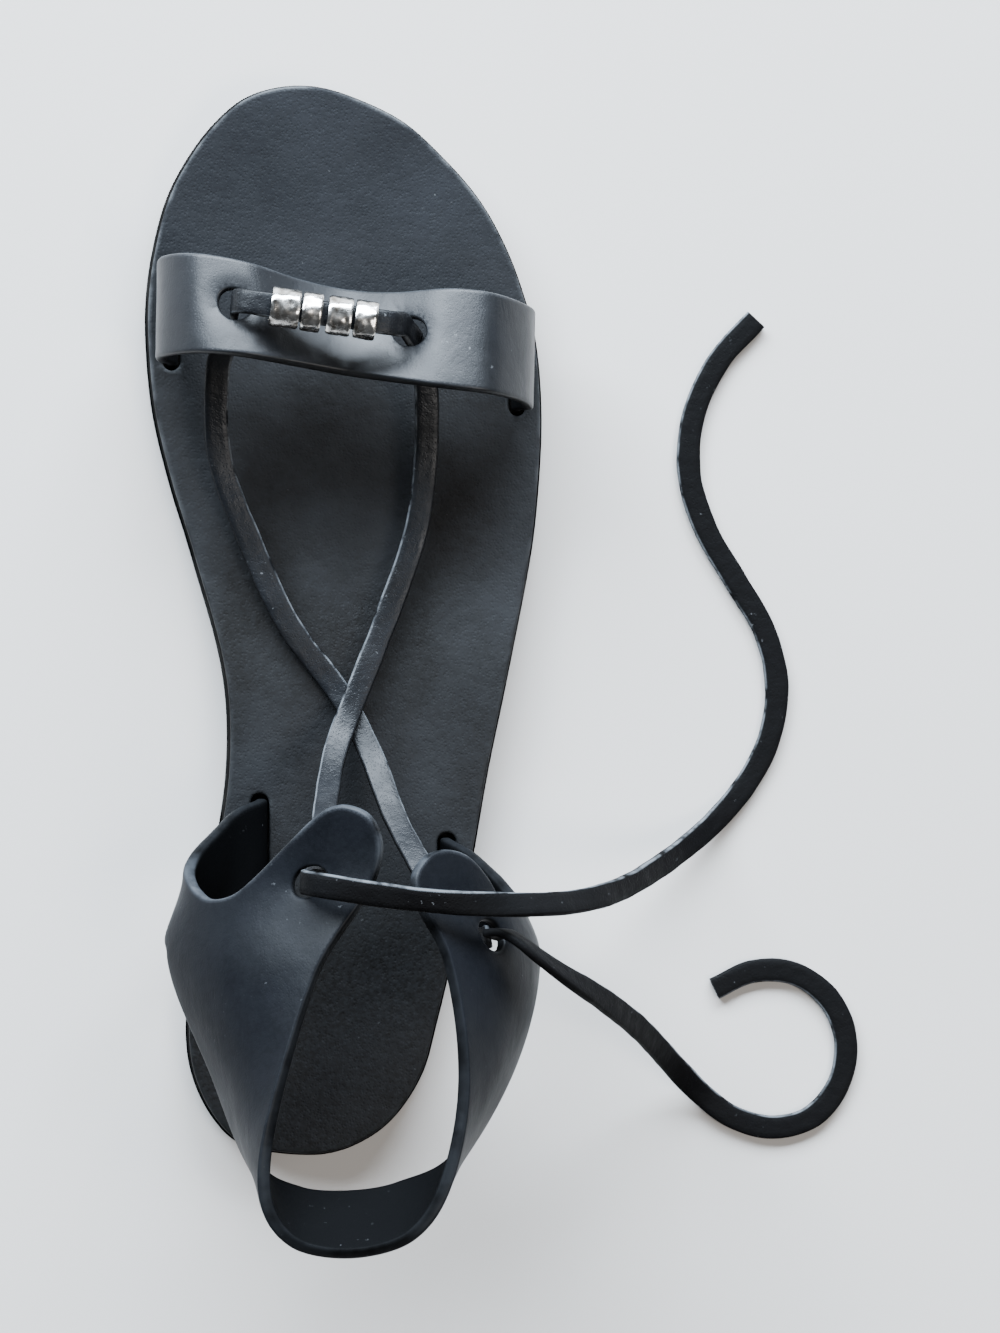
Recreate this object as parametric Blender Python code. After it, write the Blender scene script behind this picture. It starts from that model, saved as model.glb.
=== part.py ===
"""A flat leather sandal for the right foot, tied with one lace that crosses over the instep.

+Y points to the toe, +X to the little-toe side and +Z up. The origin is on the ground under the heel.
"""

import math

import bmesh
import bpy
import numpy as np
from mathutils import Matrix, Vector

# Driving sizes, in metres
SOLE_LENGTH = 0.250
SOLE_WIDTH = 0.093
HEEL_BEHIND_ORIGIN = 0.040
OUTSOLE_THICK = 0.0045
FOOTBED_THICK = 0.0040
FOOTBED_STEP = 0.0008
ARCH_RISE = 0.0016
TOE_SPRING = 0.0045
ANKLE_HEIGHT = 0.060
STRAP_WIDTH = 0.0235
TONGUE_WIDTH = 0.0200
LEG_WIDTH = 0.0185
STRAP_THICK = 0.0025
HEEL_LEATHER_THICK = 0.0028
LACE_WIDTH = 0.0055
LACE_THICK = 0.0020
LACE_HOLE_RADIUS = 0.0038
BEAD_BORE_RADIUS = 0.0036
BEAD_WALL = 0.0009
GAP = 0.0003
SLOT_CLEARANCE = 0.0008
STRAP_UPRIGHT = 0.0012
BEAD_HANG = 0.0010
LACE_ON_GROUND = 0.0013

# The flat treads, as shares of the sole's length from the heel
HEEL_TREAD_END = 0.32
BALL_TREAD_START = 0.56
BALL_TREAD_END = 0.80

# How finely the solids are faceted
SOLE_STATIONS = 40
SOLE_STRIPS = 4
LEATHER_CELL = 0.0055
LACE_STEP = 0.0048
BEAD_SIDES = 24
SLOT_END_SIDES = 12
HOLE_SIDES = 20
EDGE_STEP = 0.004
SLOPE_STEP = 0.0002
SHARP_ANGLE = math.radians(35)

FOOTBED_TOP = OUTSOLE_THICK + GAP + FOOTBED_THICK
BEAD_RADIUS = BEAD_BORE_RADIUS + BEAD_WALL
BAR_LIFT = BEAD_RADIUS + BEAD_HANG

# The sole's outline: share of the length from the heel, then its inner and outer edge as shares of its width
SOLE_OUTLINE = (
    (0.000, -0.040, -0.040),
    (0.009, -0.205, 0.070),
    (0.031, -0.280, 0.159),
    (0.076, -0.342, 0.241),
    (0.120, -0.357, 0.275),
    (0.187, -0.338, 0.318),
    (0.275, -0.290, 0.367),
    (0.364, -0.256, 0.409),
    (0.452, -0.266, 0.457),
    (0.563, -0.345, 0.516),
    (0.630, -0.400, 0.536),
    (0.696, -0.442, 0.543),
    (0.763, -0.459, 0.529),
    (0.807, -0.457, 0.499),
    (0.851, -0.439, 0.454),
    (0.896, -0.405, 0.385),
    (0.940, -0.340, 0.278),
    (0.968, -0.278, 0.189),
    (0.990, -0.199, 0.062),
    (1.000, -0.069, -0.069),
)

# The slots: their middle as shares across and along the sole, and the width of what goes in
SLOTS = {
    "toe_inner": (-0.393, 0.618, TONGUE_WIDTH),
    "toe_outer": (0.476, 0.578, TONGUE_WIDTH),
    "heel_inner": (-0.172, 0.137, LEG_WIDTH),
    "heel_outer": (0.298, 0.100, LEG_WIDTH),
}

# The toe strap bent over the toes. Each row is a line across the band: its place along the band in metres,
# then the front and the rear edge as x in sole widths, y in sole lengths and z in ankle heights over the footbed.
TOE_STRAP_ROWS = (
    (0.010, (-0.416, 0.669, 0.100), (-0.418, 0.579, 0.117)),
    (0.022, (-0.400, 0.673, 0.267), (-0.409, 0.580, 0.317)),
    (0.033, (-0.328, 0.671, 0.400), (-0.328, 0.580, 0.475)),
    (0.044, (-0.210, 0.662, 0.425), (-0.226, 0.576, 0.550)),
    (0.056, (-0.084, 0.650, 0.300), (-0.102, 0.570, 0.492)),
    (0.068, (0.040, 0.642, 0.242), (0.022, 0.563, 0.442)),
    (0.080, (0.160, 0.639, 0.308), (0.145, 0.556, 0.467)),
    (0.092, (0.285, 0.641, 0.408), (0.274, 0.549, 0.517)),
    (0.102, (0.382, 0.638, 0.400), (0.376, 0.545, 0.492)),
    (0.112, (0.468, 0.632, 0.258), (0.462, 0.541, 0.317)),
    (0.120, (0.501, 0.628, 0.100), (0.495, 0.537, 0.117)),
)
TOE_STRAP_END = 0.130

# The lace holes in the toe strap: place along the band in metres, and share across it from the front edge
TOE_STRAP_HOLES = (
    (0.0415, 0.47),
    (0.0830, 0.44),
)

# The heel piece bent round the heel. Each row is a line up the leather: its place along the piece in metres and
# the slot that it rises from, then leg, bulge, shoulder and top, in the same shares as the toe strap.
HEEL_ROWS = (
    (0.000, "heel_inner", (-0.258, 0.184, 0.183), (-0.339, 0.180, 0.450),
     (-0.204, 0.184, 0.767), (0.097, 0.184, 0.983)),
    (0.020, "heel_inner", (-0.269, 0.106, 0.183), (-0.355, 0.104, 0.450),
     (-0.215, 0.104, 0.758), (0.086, 0.112, 0.967)),
    (0.042, "heel_inner", (-0.355, 0.028, 0.233), (-0.396, 0.032, 0.450),
     (-0.258, 0.028, 0.800), (-0.032, 0.032, 1.017)),
    (0.066, "heel_inner", (-0.312, -0.064, 0.333), (-0.301, -0.064, 0.550),
     (-0.242, -0.066, 0.833), (-0.142, -0.072, 1.067)),
    (0.088, None, (-0.210, -0.140, 0.450), (-0.204, -0.142, 0.667),
     (-0.194, -0.148, 0.900), (-0.183, -0.158, 1.133)),
    (0.106, None, (-0.081, -0.132, 0.550), (-0.091, -0.156, 0.750),
     (-0.102, -0.180, 0.933), (-0.124, -0.204, 1.150)),
    (0.120, None, (0.030, -0.132, 0.567), (0.026, -0.158, 0.767),
     (0.022, -0.184, 0.958), (0.014, -0.216, 1.167)),
    (0.134, None, (0.129, -0.130, 0.550), (0.138, -0.153, 0.750),
     (0.146, -0.176, 0.933), (0.157, -0.200, 1.158)),
    (0.152, None, (0.301, -0.130, 0.450), (0.290, -0.136, 0.667),
     (0.263, -0.144, 0.900), (0.237, -0.148, 1.133)),
    (0.174, "heel_outer", (0.435, -0.060, 0.333), (0.430, -0.060, 0.550),
     (0.366, -0.060, 0.833), (0.274, -0.060, 1.075)),
    (0.198, "heel_outer", (0.457, 0.028, 0.233), (0.489, 0.032, 0.450),
     (0.398, 0.032, 0.783), (0.237, 0.040, 1.008)),
    (0.216, "heel_outer", (0.366, 0.096, 0.167), (0.435, 0.092, 0.400),
     (0.366, 0.096, 0.717), (0.161, 0.104, 0.950)),
    (0.236, "heel_outer", (0.355, 0.168, 0.167), (0.398, 0.164, 0.383),
     (0.344, 0.168, 0.667), (0.151, 0.168, 0.917)),
)

# How far up the leather each line of points of the heel piece lies: slot bottom, slot top, leg, bulge, shoulder, top
HEEL_HEIGHTS = (0.000, FOOTBED_THICK + STRAP_UPRIGHT, 0.018, 0.035, 0.058, 0.088)

# Where each leg of the heel piece lies along it: its front edge, its rear edge and the way that y runs there
INNER_LEG = (0.0030, 0.0030 + LEG_WIDTH, -1)
OUTER_LEG = (0.2260, 0.2260 - LEG_WIDTH, 1)
LEGS = {"heel_inner": INNER_LEG, "heel_outer": OUTER_LEG}

# The heel piece's cut, in metres along the piece and up the leather, from the inner slot's front end round the
# inner tab, along the upper edge and round the outer tab to the outer slot's front end
HEEL_UPPER_EDGE = (
    (INNER_LEG[0], 0.0000),
    (INNER_LEG[0], 0.0050),
    (0.0050, 0.0140),
    (0.0120, 0.0270),
    (0.0175, 0.0350),
    (0.0215, 0.0420),
    (0.0238, 0.0480),
    (0.0228, 0.0540),
    (0.0190, 0.0590),
    (0.0110, 0.0670),
    (0.0035, 0.0750),
    (0.0022, 0.0795),
    (0.0045, 0.0848),
    (0.0105, 0.0875),
    (0.0190, 0.0874),
    (0.0420, 0.0850),
    (0.0660, 0.0862),
    (0.0880, 0.0840),
    (0.1060, 0.0832),
    (0.1200, 0.0830),
    (0.1340, 0.0832),
    (0.1520, 0.0845),
    (0.1740, 0.0862),
    (0.2010, 0.0868),
    (0.2110, 0.0876),
    (0.2190, 0.0862),
    (0.2245, 0.0810),
    (0.2262, 0.0745),
    (0.2245, 0.0670),
    (0.2195, 0.0605),
    (0.2140, 0.0555),
    (0.2112, 0.0490),
    (0.2115, 0.0420),
    (0.2150, 0.0335),
    (0.2200, 0.0260),
    (0.2240, 0.0170),
    (OUTER_LEG[0], 0.0050),
    (OUTER_LEG[0], 0.0000),
)

# Its lower edge, from the outer slot's rear end back to the inner slot's. The two corners are sharp.
HEEL_LOWER_EDGES = (
    ((OUTER_LEG[1], 0.0000), (OUTER_LEG[1], 0.0050), (0.2045, 0.0160), (0.2010, 0.0270), (0.1970, 0.0355)),
    (
        (0.1970, 0.0355),
        (0.1880, 0.0365),
        (0.1740, 0.0387),
        (0.1520, 0.0425),
        (0.1340, 0.0425),
        (0.1200, 0.0430),
        (0.1060, 0.0425),
        (0.0880, 0.0425),
        (0.0660, 0.0390),
        (0.0500, 0.0368),
        (0.0395, 0.0355),
    ),
    ((0.0395, 0.0355), (0.0320, 0.0255), (0.0262, 0.0150), (INNER_LEG[1], 0.0050), (INNER_LEG[1], 0.0000)),
)

# The lace holes in the two tabs: place along and up, and half their height in the cut
TAB_HOLES = (
    (0.0200, 0.0730, 0.0038),
    (0.2050, 0.0640, 0.0052),
)

# The lace over the toe strap: each point in the toe strap's shares, the way that its face looks, and how much of
# BAR_LIFT it is raised by, so that the beads clear the strap
BAR_ROUTE = (
    ((-0.2441, 0.6176, 0.4100), (-1.0, 0.1, 0.0), 0.0),
    ((-0.2441, 0.6232, 0.4833), (-1.0, 0.1, 0.0), 0.0),
    ((-0.2409, 0.6256, 0.4917), (-1.0, 0.1, 0.3), 0.4),
    ((-0.2226, 0.6248, 0.4933), (-0.6, 0.1, 0.8), 0.8),
    ((-0.1849, 0.6224, 0.4900), (0.0, 0.0, 1.0), 1.0),
    ((-0.0376, 0.6144, 0.4900), (0.0, 0.0, 1.0), 1.0),
    ((0.1129, 0.6068, 0.4850), (0.1, 0.0, 1.0), 1.0),
    ((0.1505, 0.6060, 0.4700), (0.7, -0.1, 0.7), 0.8),
    ((0.1677, 0.6072, 0.4425), (1.0, -0.1, 0.3), 0.3),
    ((0.1849, 0.6020, 0.3967), (0.9, -0.1, 0.4), 0.0),
    ((0.2043, 0.5948, 0.3283), (0.9, -0.1, 0.4), 0.0),
)

# The two runs from under the toe strap to the tabs, the lower one first, in the same shares
LOWER_RUN_ROUTE = (
    ((-0.2441, 0.6164, 0.3967), (-1.0, 0.1, 0.0)),
    ((-0.2452, 0.6124, 0.3483), (-1.0, 0.2, -0.1)),
    ((-0.2591, 0.5972, 0.2917), (-0.1, 0.5, 0.9)),
    ((-0.2817, 0.5680, 0.2283), (0.0, 0.2, 1.0)),
    ((-0.2753, 0.4920, 0.1283), (0.0, 0.1, 1.0)),
    ((-0.2043, 0.4188, 0.0867), (0.0, 0.0, 1.0)),
    ((-0.1022, 0.3364, 0.0733), (0.0, 0.0, 1.0)),
    ((0.0258, 0.2720, 0.0733), (0.0, 0.0, 1.0)),
    ((0.0989, 0.2180, 0.1450), (0.0, 0.3, 1.0)),
    ((0.1527, 0.1600, 0.3033), (0.0, 0.6, 0.8)),
    ((0.2043, 0.1200, 0.4700), (-0.1, 0.7, 0.7)),
    ((0.2602, 0.0820, 0.6033), (-0.1, 0.7, 0.7)),
    ((0.3065, 0.0580, 0.7200), (-0.4, 0.5, 0.6)),
    ((0.3355, 0.0548, 0.7800), (-0.6, 0.4, 0.5)),
    ((0.3538, 0.0580, 0.8100), (-0.7, 0.2, 0.6)),
)
UPPER_RUN_ROUTE = (
    ((0.2075, 0.5936, 0.3167), (0.9, -0.1, 0.4)),
    ((0.2172, 0.5896, 0.2817), (0.8, 0.2, 0.5)),
    ((0.2280, 0.5720, 0.2400), (0.1, 0.4, 0.9)),
    ((0.2376, 0.5440, 0.1917), (0.0, 0.2, 1.0)),
    ((0.2376, 0.4900, 0.1283), (0.0, 0.1, 1.0)),
    ((0.2151, 0.4240, 0.0950), (0.0, 0.0, 1.0)),
    ((0.1441, 0.3460, 0.0867), (0.0, 0.0, 1.0)),
    ((0.0591, 0.2660, 0.1033), (0.0, 0.1, 1.0)),
    ((0.0108, 0.2200, 0.1950), (0.0, 0.6, 0.8)),
    ((-0.0194, 0.1740, 0.4033), (0.0, 0.8, 0.6)),
    ((-0.0366, 0.1384, 0.6200), (0.0, 0.8, 0.5)),
    ((-0.0559, 0.1104, 0.8033), (-0.7, 0.7, 0.2)),
    ((-0.0699, 0.1080, 0.8633), (-1.0, 0.1, -0.4)),
)

# The free ends, from the tab holes over the outer side and down to lie on the ground
INNER_END_ROUTE = (
    ((-0.0720, 0.1080, 0.8783), (-1.0, 0.1, -0.4)),
    ((-0.0871, 0.1088, 0.9367), (-1.0, 0.1, -0.2)),
    ((-0.0860, 0.1088, 0.9933), (-1.0, 0.0, 0.3)),
    ((-0.0634, 0.1076, 1.0400), (-0.6, 0.0, 0.8)),
    ((-0.0215, 0.1052, 1.0633), (-0.1, -0.1, 1.0)),
    ((0.0430, 0.1012, 1.0667), (0.0, -0.2, 1.0)),
    ((0.1075, 0.0976, 1.0617), (0.0, -0.2, 1.0)),
    ((0.1720, 0.0944, 1.0517), (0.0, -0.3, 1.0)),
    ((0.2581, 0.0912, 1.0283), (0.1, -0.2, 1.0)),
    ((0.3548, 0.0888, 0.9817), (0.3, 0.1, 0.9)),
    ((0.4570, 0.0872, 0.9033), (0.4, 0.5, 0.8)),
    ((0.5538, 0.0872, 0.7700), (0.6, 0.5, 0.7)),
    ((0.6398, 0.0904, 0.6033), (0.7, 0.3, 0.7)),
    ((0.7204, 0.0968, 0.4033), (0.8, 0.0, 0.6)),
    ((0.8011, 0.1080, 0.2033), (0.7, 0.0, 0.7)),
    ((0.8871, 0.1240, 0.0200), (0.6, 0.0, 0.8)),
    ((0.9839, 0.1500, -0.0967), (0.3, 0.0, 1.0)),
    ((1.0699, 0.1860, -0.1250), (0.0, 0.0, 1.0)),
    ((1.1290, 0.2280, -0.1250), (0.0, 0.0, 1.0)),
    ((1.1505, 0.2800, -0.1250), (0.0, 0.0, 1.0)),
    ((1.1183, 0.3320, -0.1250), (0.0, 0.0, 1.0)),
    ((1.0430, 0.3800, -0.1250), (0.0, 0.0, 1.0)),
    ((0.9677, 0.4280, -0.1250), (0.0, 0.0, 1.0)),
    ((0.9247, 0.4800, -0.1250), (0.0, 0.0, 1.0)),
    ((0.9355, 0.5360, -0.1250), (0.0, 0.0, 1.0)),
    ((1.0000, 0.5880, -0.1250), (0.0, 0.0, 1.0)),
    ((1.0968, 0.6280, -0.1250), (0.0, 0.0, 1.0)),
)
OUTER_END_ROUTE = (
    ((0.3591, 0.0592, 0.8183), (0.0, 1.0, -0.4)),
    ((0.3871, 0.0620, 0.8600), (0.1, 1.0, 0.0)),
    ((0.4194, 0.0560, 0.8900), (0.3, 0.9, 0.2)),
    ((0.4677, 0.0420, 0.8833), (0.4, 0.8, 0.4)),
    ((0.5376, 0.0232, 0.8200), (0.5, 0.6, 0.6)),
    ((0.6183, 0.0040, 0.6867), (0.6, 0.3, 0.7)),
    ((0.6935, -0.0160, 0.5033), (0.7, 0.0, 0.7)),
    ((0.7634, -0.0368, 0.3033), (0.7, -0.2, 0.7)),
    ((0.8258, -0.0592, 0.1200), (0.6, -0.3, 0.7)),
    ((0.8903, -0.0840, -0.0267), (0.3, -0.3, 0.9)),
    ((0.9591, -0.1088, -0.1100), (0.1, -0.1, 1.0)),
    ((1.0376, -0.1300, -0.1250), (0.0, 0.0, 1.0)),
    ((1.1398, -0.1400, -0.1250), (0.0, 0.0, 1.0)),
    ((1.2419, -0.1300, -0.1250), (0.0, 0.0, 1.0)),
    ((1.3118, -0.0980, -0.1250), (0.0, 0.0, 1.0)),
    ((1.3280, -0.0560, -0.1250), (0.0, 0.0, 1.0)),
    ((1.2849, -0.0180, -0.1250), (0.0, 0.0, 1.0)),
    ((1.1935, 0.0060, -0.1250), (0.0, 0.0, 1.0)),
    ((1.0860, 0.0080, -0.1250), (0.0, 0.0, 1.0)),
    ((0.9892, -0.0080, -0.1250), (0.0, 0.0, 1.0)),
)

# The beads on the bar, in metres: distance of each one's middle from the bar's middle, and its width. The bar's
# middle is in the toe strap's shares.
BEADS = (
    ("bead_1", -0.0086, 0.0065),
    ("bead_2", -0.0026, 0.0044),
    ("bead_3", 0.0037, 0.0054),
    ("bead_4", 0.0096, 0.0049),
)
BAR_MIDDLE = (-0.0323, 0.6142, 0.4900)
BAR_DIRECTION = (0.990, -0.141, 0.0)

# Colours, roughness and metallic value
FINISHES = {
    "footbed_leather": ((0.030, 0.029, 0.031), 0.62, 0.0),
    "outsole_rubber": ((0.018, 0.016, 0.015), 0.75, 0.0),
    "strap_leather": ((0.022, 0.025, 0.033), 0.42, 0.0),
    "lace_leather": ((0.024, 0.027, 0.034), 0.50, 0.0),
    "bead_metal": ((0.62, 0.60, 0.57), 0.22, 1.0),
}


def clear_scene():
    for item in list(bpy.data.objects):
        bpy.data.objects.remove(item, do_unlink=True)


def finish(name):
    """The material of that name, made on first use."""
    material = bpy.data.materials.get(name)
    if material is None:
        colour, roughness, metallic = FINISHES[name]
        material = bpy.data.materials.new(name)
        material.use_nodes = True
        shader = material.node_tree.nodes["Principled BSDF"]
        shader.inputs["Base Color"].default_value = (*colour, 1.0)
        shader.inputs["Roughness"].default_value = roughness
        shader.inputs["Metallic"].default_value = metallic
    return material


def add_object(name, points, faces, finish_name=None):
    mesh = bpy.data.meshes.new(name)
    mesh.from_pydata([tuple(p) for p in points], [], faces)
    mesh.validate()
    item = bpy.data.objects.new(name, mesh)
    bpy.context.collection.objects.link(item)
    if finish_name:
        mesh.materials.append(finish(finish_name))
        mesh.shade_smooth()
        mesh.set_sharp_from_angle(angle=SHARP_ANGLE)
    return item


def cut(item, cutter, operation):
    """item's mesh after a Boolean with cutter, which is then deleted."""
    modifier = item.modifiers.new("cut", "BOOLEAN")
    modifier.object = cutter
    modifier.operation = operation
    modifier.solver = "EXACT"
    bpy.context.view_layer.update()
    old = item.data
    item.data = bpy.data.meshes.new_from_object(item.evaluated_get(bpy.context.evaluated_depsgraph_get()))
    item.modifiers.clear()
    bpy.data.meshes.remove(old)
    bpy.data.objects.remove(cutter, do_unlink=True)


def weights(knots, at):
    """How much each knot's value counts at each place, on one smooth curve through all the knots."""
    knots, at = np.asarray(knots, float), np.atleast_1d(np.asarray(at, float))
    count, rows = len(knots), np.arange(len(at))
    left = np.clip(np.searchsorted(knots, at, side="right") - 1, 0, count - 2)
    step = knots[left + 1] - knots[left]
    u = (at - knots[left]) / step
    result = np.zeros((len(at), count))
    result[rows, left] += 2 * u**3 - 3 * u**2 + 1
    result[rows, left + 1] += 3 * u**2 - 2 * u**3
    for end, basis in ((left, u**3 - 2 * u**2 + u), (left + 1, u**3 - u**2)):
        before, after = np.maximum(end - 1, 0), np.minimum(end + 1, count - 1)
        slope = basis * step / (knots[after] - knots[before])
        np.add.at(result, (rows, after), slope)
        np.add.at(result, (rows, before), -slope)
    return result


def smooth_path(points, spacing):
    """Points about spacing apart on the smooth curve through points."""
    points = np.asarray(points, float)
    knots = np.concatenate([[0.0], np.cumsum(np.linalg.norm(np.diff(points[:, :3], axis=0), axis=1))])
    count = max(2, round(knots[-1] / spacing))
    return weights(knots, np.linspace(0.0, knots[-1], count + 1)) @ points


def smooth_step(share):
    share = min(max(share, 0.0), 1.0)
    return share * share * (3 - 2 * share)


def sole_rise(y):
    """How far the outsole's underside is off the ground: none on the treads, some at the waist and the toe.

    The waist rises and falls in one smooth hump. The toe takes the first half of a smooth step, so it leaves the
    tread level and is steepest at its tip.
    """
    share = (y + HEEL_BEHIND_ORIGIN) / SOLE_LENGTH
    waist = (share - HEEL_TREAD_END) / (BALL_TREAD_START - HEEL_TREAD_END)
    toe = (share - BALL_TREAD_END) / (1 - BALL_TREAD_END)
    return ARCH_RISE * smooth_step(2 * min(waist, 1 - waist)) + 2 * TOE_SPRING * smooth_step(toe / 2)


def sole_edges(inset):
    """The inner and the outer edge of the sole from heel to toe, moved inwards by inset."""
    table = np.array(SOLE_OUTLINE)
    turn = np.arccos(1 - 2 * table[:, 0])
    turns = np.linspace(0.0, math.pi, SOLE_STATIONS + 1)
    across = weights(turn, turns) @ table[:, 1:] * SOLE_WIDTH
    along = (1 - np.cos(turns)) / 2 * SOLE_LENGTH - HEEL_BEHIND_ORIGIN
    inner, outer = (np.column_stack([across[:, side], along]) for side in (0, 1))
    ring = np.concatenate([outer, inner[-2:0:-1]])
    ahead = np.roll(ring, -1, axis=0) - np.roll(ring, 1, axis=0)
    ahead /= np.linalg.norm(ahead, axis=1)[:, None]
    ring = ring + inset * np.column_stack([-ahead[:, 1], ahead[:, 0]])
    outer = ring[: SOLE_STATIONS + 1]
    inner = np.concatenate([ring[:1], ring[SOLE_STATIONS + 1 :][::-1], ring[SOLE_STATIONS : SOLE_STATIONS + 1]])
    return inner, outer


def sole_layer(name, inset, bottom, thick, finish_name):
    """One layer of the sole: strips across it from heel to toe, following the sole's rise."""
    inner, outer = sole_edges(inset)
    points, faces, rows = [], [], []
    for station in range(SOLE_STATIONS + 1):
        tip = station in (0, SOLE_STATIONS)
        shares = [0.5] if tip else [strip / SOLE_STRIPS for strip in range(SOLE_STRIPS + 1)]
        row = []
        for share in shares:
            x, y = inner[station] * (1 - share) + outer[station] * share
            row.append(len(points))
            points += [(x, y, sole_rise(y) + bottom), (x, y, sole_rise(y) + bottom + thick)]
        rows.append(row if not tip else row * (SOLE_STRIPS + 1))
    for behind, ahead in zip(rows, rows[1:]):
        for strip in range(SOLE_STRIPS):
            a, b, c, d = behind[strip], behind[strip + 1], ahead[strip + 1], ahead[strip]
            faces += [(a + 1, b + 1, c + 1, d + 1), (d, c, b, a)]
        faces.append((behind[0], behind[0] + 1, ahead[0] + 1, ahead[0]))
        faces.append((ahead[-1], ahead[-1] + 1, behind[-1] + 1, behind[-1]))
    cleaned = []
    for face in faces:
        corners = list(dict.fromkeys(face))
        if len(corners) > 2:
            cleaned.append(corners)
    return add_object(name, points, cleaned, finish_name)


def prism(name, outline, low, high):
    """A solid with a flat outline, given anticlockwise, between two heights."""
    count = len(outline)
    points = [(*p, low) for p in outline] + [(*p, high) for p in outline]
    faces = [tuple(range(count))[::-1], tuple(range(count, 2 * count))]
    for i in range(count):
        j = (i + 1) % count
        faces.append((i, j, count + j, count + i))
    return add_object(name, points, faces)


def slot_place(name):
    x, y, length = SLOTS[name]
    return x * SOLE_WIDTH, y * SOLE_LENGTH, length


def cut_slot(layer, name, leather):
    """A round-ended slot through the footbed for a strap of that thickness."""
    x, y, length = slot_place(name)
    radius = leather / 2 + SLOT_CLEARANCE
    reach = length / 2 + SLOT_CLEARANCE + radius - math.sqrt(radius**2 - (leather / 2) ** 2)
    outline = []
    for way in (1, -1):
        for turn in range(SLOT_END_SIDES + 1):
            angle = math.pi * turn / SLOT_END_SIDES
            across, along = way * radius * math.cos(angle), reach - radius + radius * math.sin(angle)
            outline.append((x + across, y + way * along))
    cut(layer, prism("slot_cutter", outline, 0.0, FOOTBED_TOP * 2), "DIFFERENCE")


def in_place(share):
    x, y, z = share
    return (x * SOLE_WIDTH, y * SOLE_LENGTH, FOOTBED_TOP + z * ANKLE_HEIGHT)


def lace_route(table):
    """Rows of a lace's place in metres and the way its face looks. No part of it goes under the ground."""
    rows = []
    for share, facing, *lift in table:
        x, y, z = in_place(share)
        rows.append((x, y, max(z, LACE_ON_GROUND) + BAR_LIFT * sum(lift), *facing))
    return np.array(rows)


def bent_leather(name, alongs, heights, grid, outline, holes, thick, finish_name):
    """A strap cut flat along its outline and bent so that its lines of points pass through the grid.

    alongs and heights place the grid's points in the flat cut, and outline and holes are drawn in it.
    """
    low, high = np.min(outline, axis=0), np.max(outline, axis=0)
    counts = np.maximum(2, np.round((high - low) / LEATHER_CELL).astype(int) + 1)
    lines = [np.linspace(low[k] - GAP, high[k] + GAP, counts[k] + 1) for k in (0, 1)]
    points, faces = [], []
    size = (counts[0] + 1) * (counts[1] + 1)
    for side in (-1, 1):
        points += [(a, b, side * thick / 2) for a in lines[0] for b in lines[1]]
    wide = counts[1] + 1
    for i in range(counts[0]):
        for j in range(counts[1]):
            a, b, c, d = i * wide + j, (i + 1) * wide + j, (i + 1) * wide + j + 1, i * wide + j + 1
            faces += [(d, c, b, a), (a + size, b + size, c + size, d + size)]
    border = [(i * wide, (i + 1) * wide) for i in range(counts[0])]
    border += [(counts[0] * wide + j, counts[0] * wide + j + 1) for j in range(counts[1])]
    border += [((i + 1) * wide + counts[1], i * wide + counts[1]) for i in reversed(range(counts[0]))]
    border += [(j + 1, j) for j in reversed(range(counts[1]))]
    faces += [(a, b, b + size, a + size) for a, b in border]
    item = add_object(name, points, faces, finish_name)
    cut(item, prism("outline_cutter", outline, -thick, thick), "INTERSECT")
    for hole in holes:
        cut(item, prism("hole_cutter", hole, -thick, thick), "DIFFERENCE")
    edit = bmesh.new()
    edit.from_mesh(item.data)
    bmesh.ops.triangulate(edit, faces=edit.faces)
    flat = np.array([tuple(v.co) for v in edit.verts])

    def surface(a, b):
        return np.einsum("mi,mj,ijk->mk", weights(alongs, a), weights(heights, b), grid)

    a, b = flat[:, 0], flat[:, 1]
    ahead = surface(a + SLOPE_STEP, b) - surface(a - SLOPE_STEP, b)
    upward = surface(a, b + SLOPE_STEP) - surface(a, b - SLOPE_STEP)
    normal = np.cross(ahead, upward)
    normal /= np.linalg.norm(normal, axis=1)[:, None]
    bent = surface(a, b) + normal * flat[:, 2:]
    for vertex, place in zip(edit.verts, bent):
        vertex.co = Vector(place)
    edit.to_mesh(item.data)
    edit.free()
    item.data.shade_smooth()
    item.data.set_sharp_from_angle(angle=SHARP_ANGLE)
    return item


def oval(along, up, half_along, half_up):
    outline = []
    for turn in range(HOLE_SIDES):
        angle = 2 * math.pi * turn / HOLE_SIDES
        outline.append((along + half_along * math.cos(angle), up + half_up * math.sin(angle)))
    return outline


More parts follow.
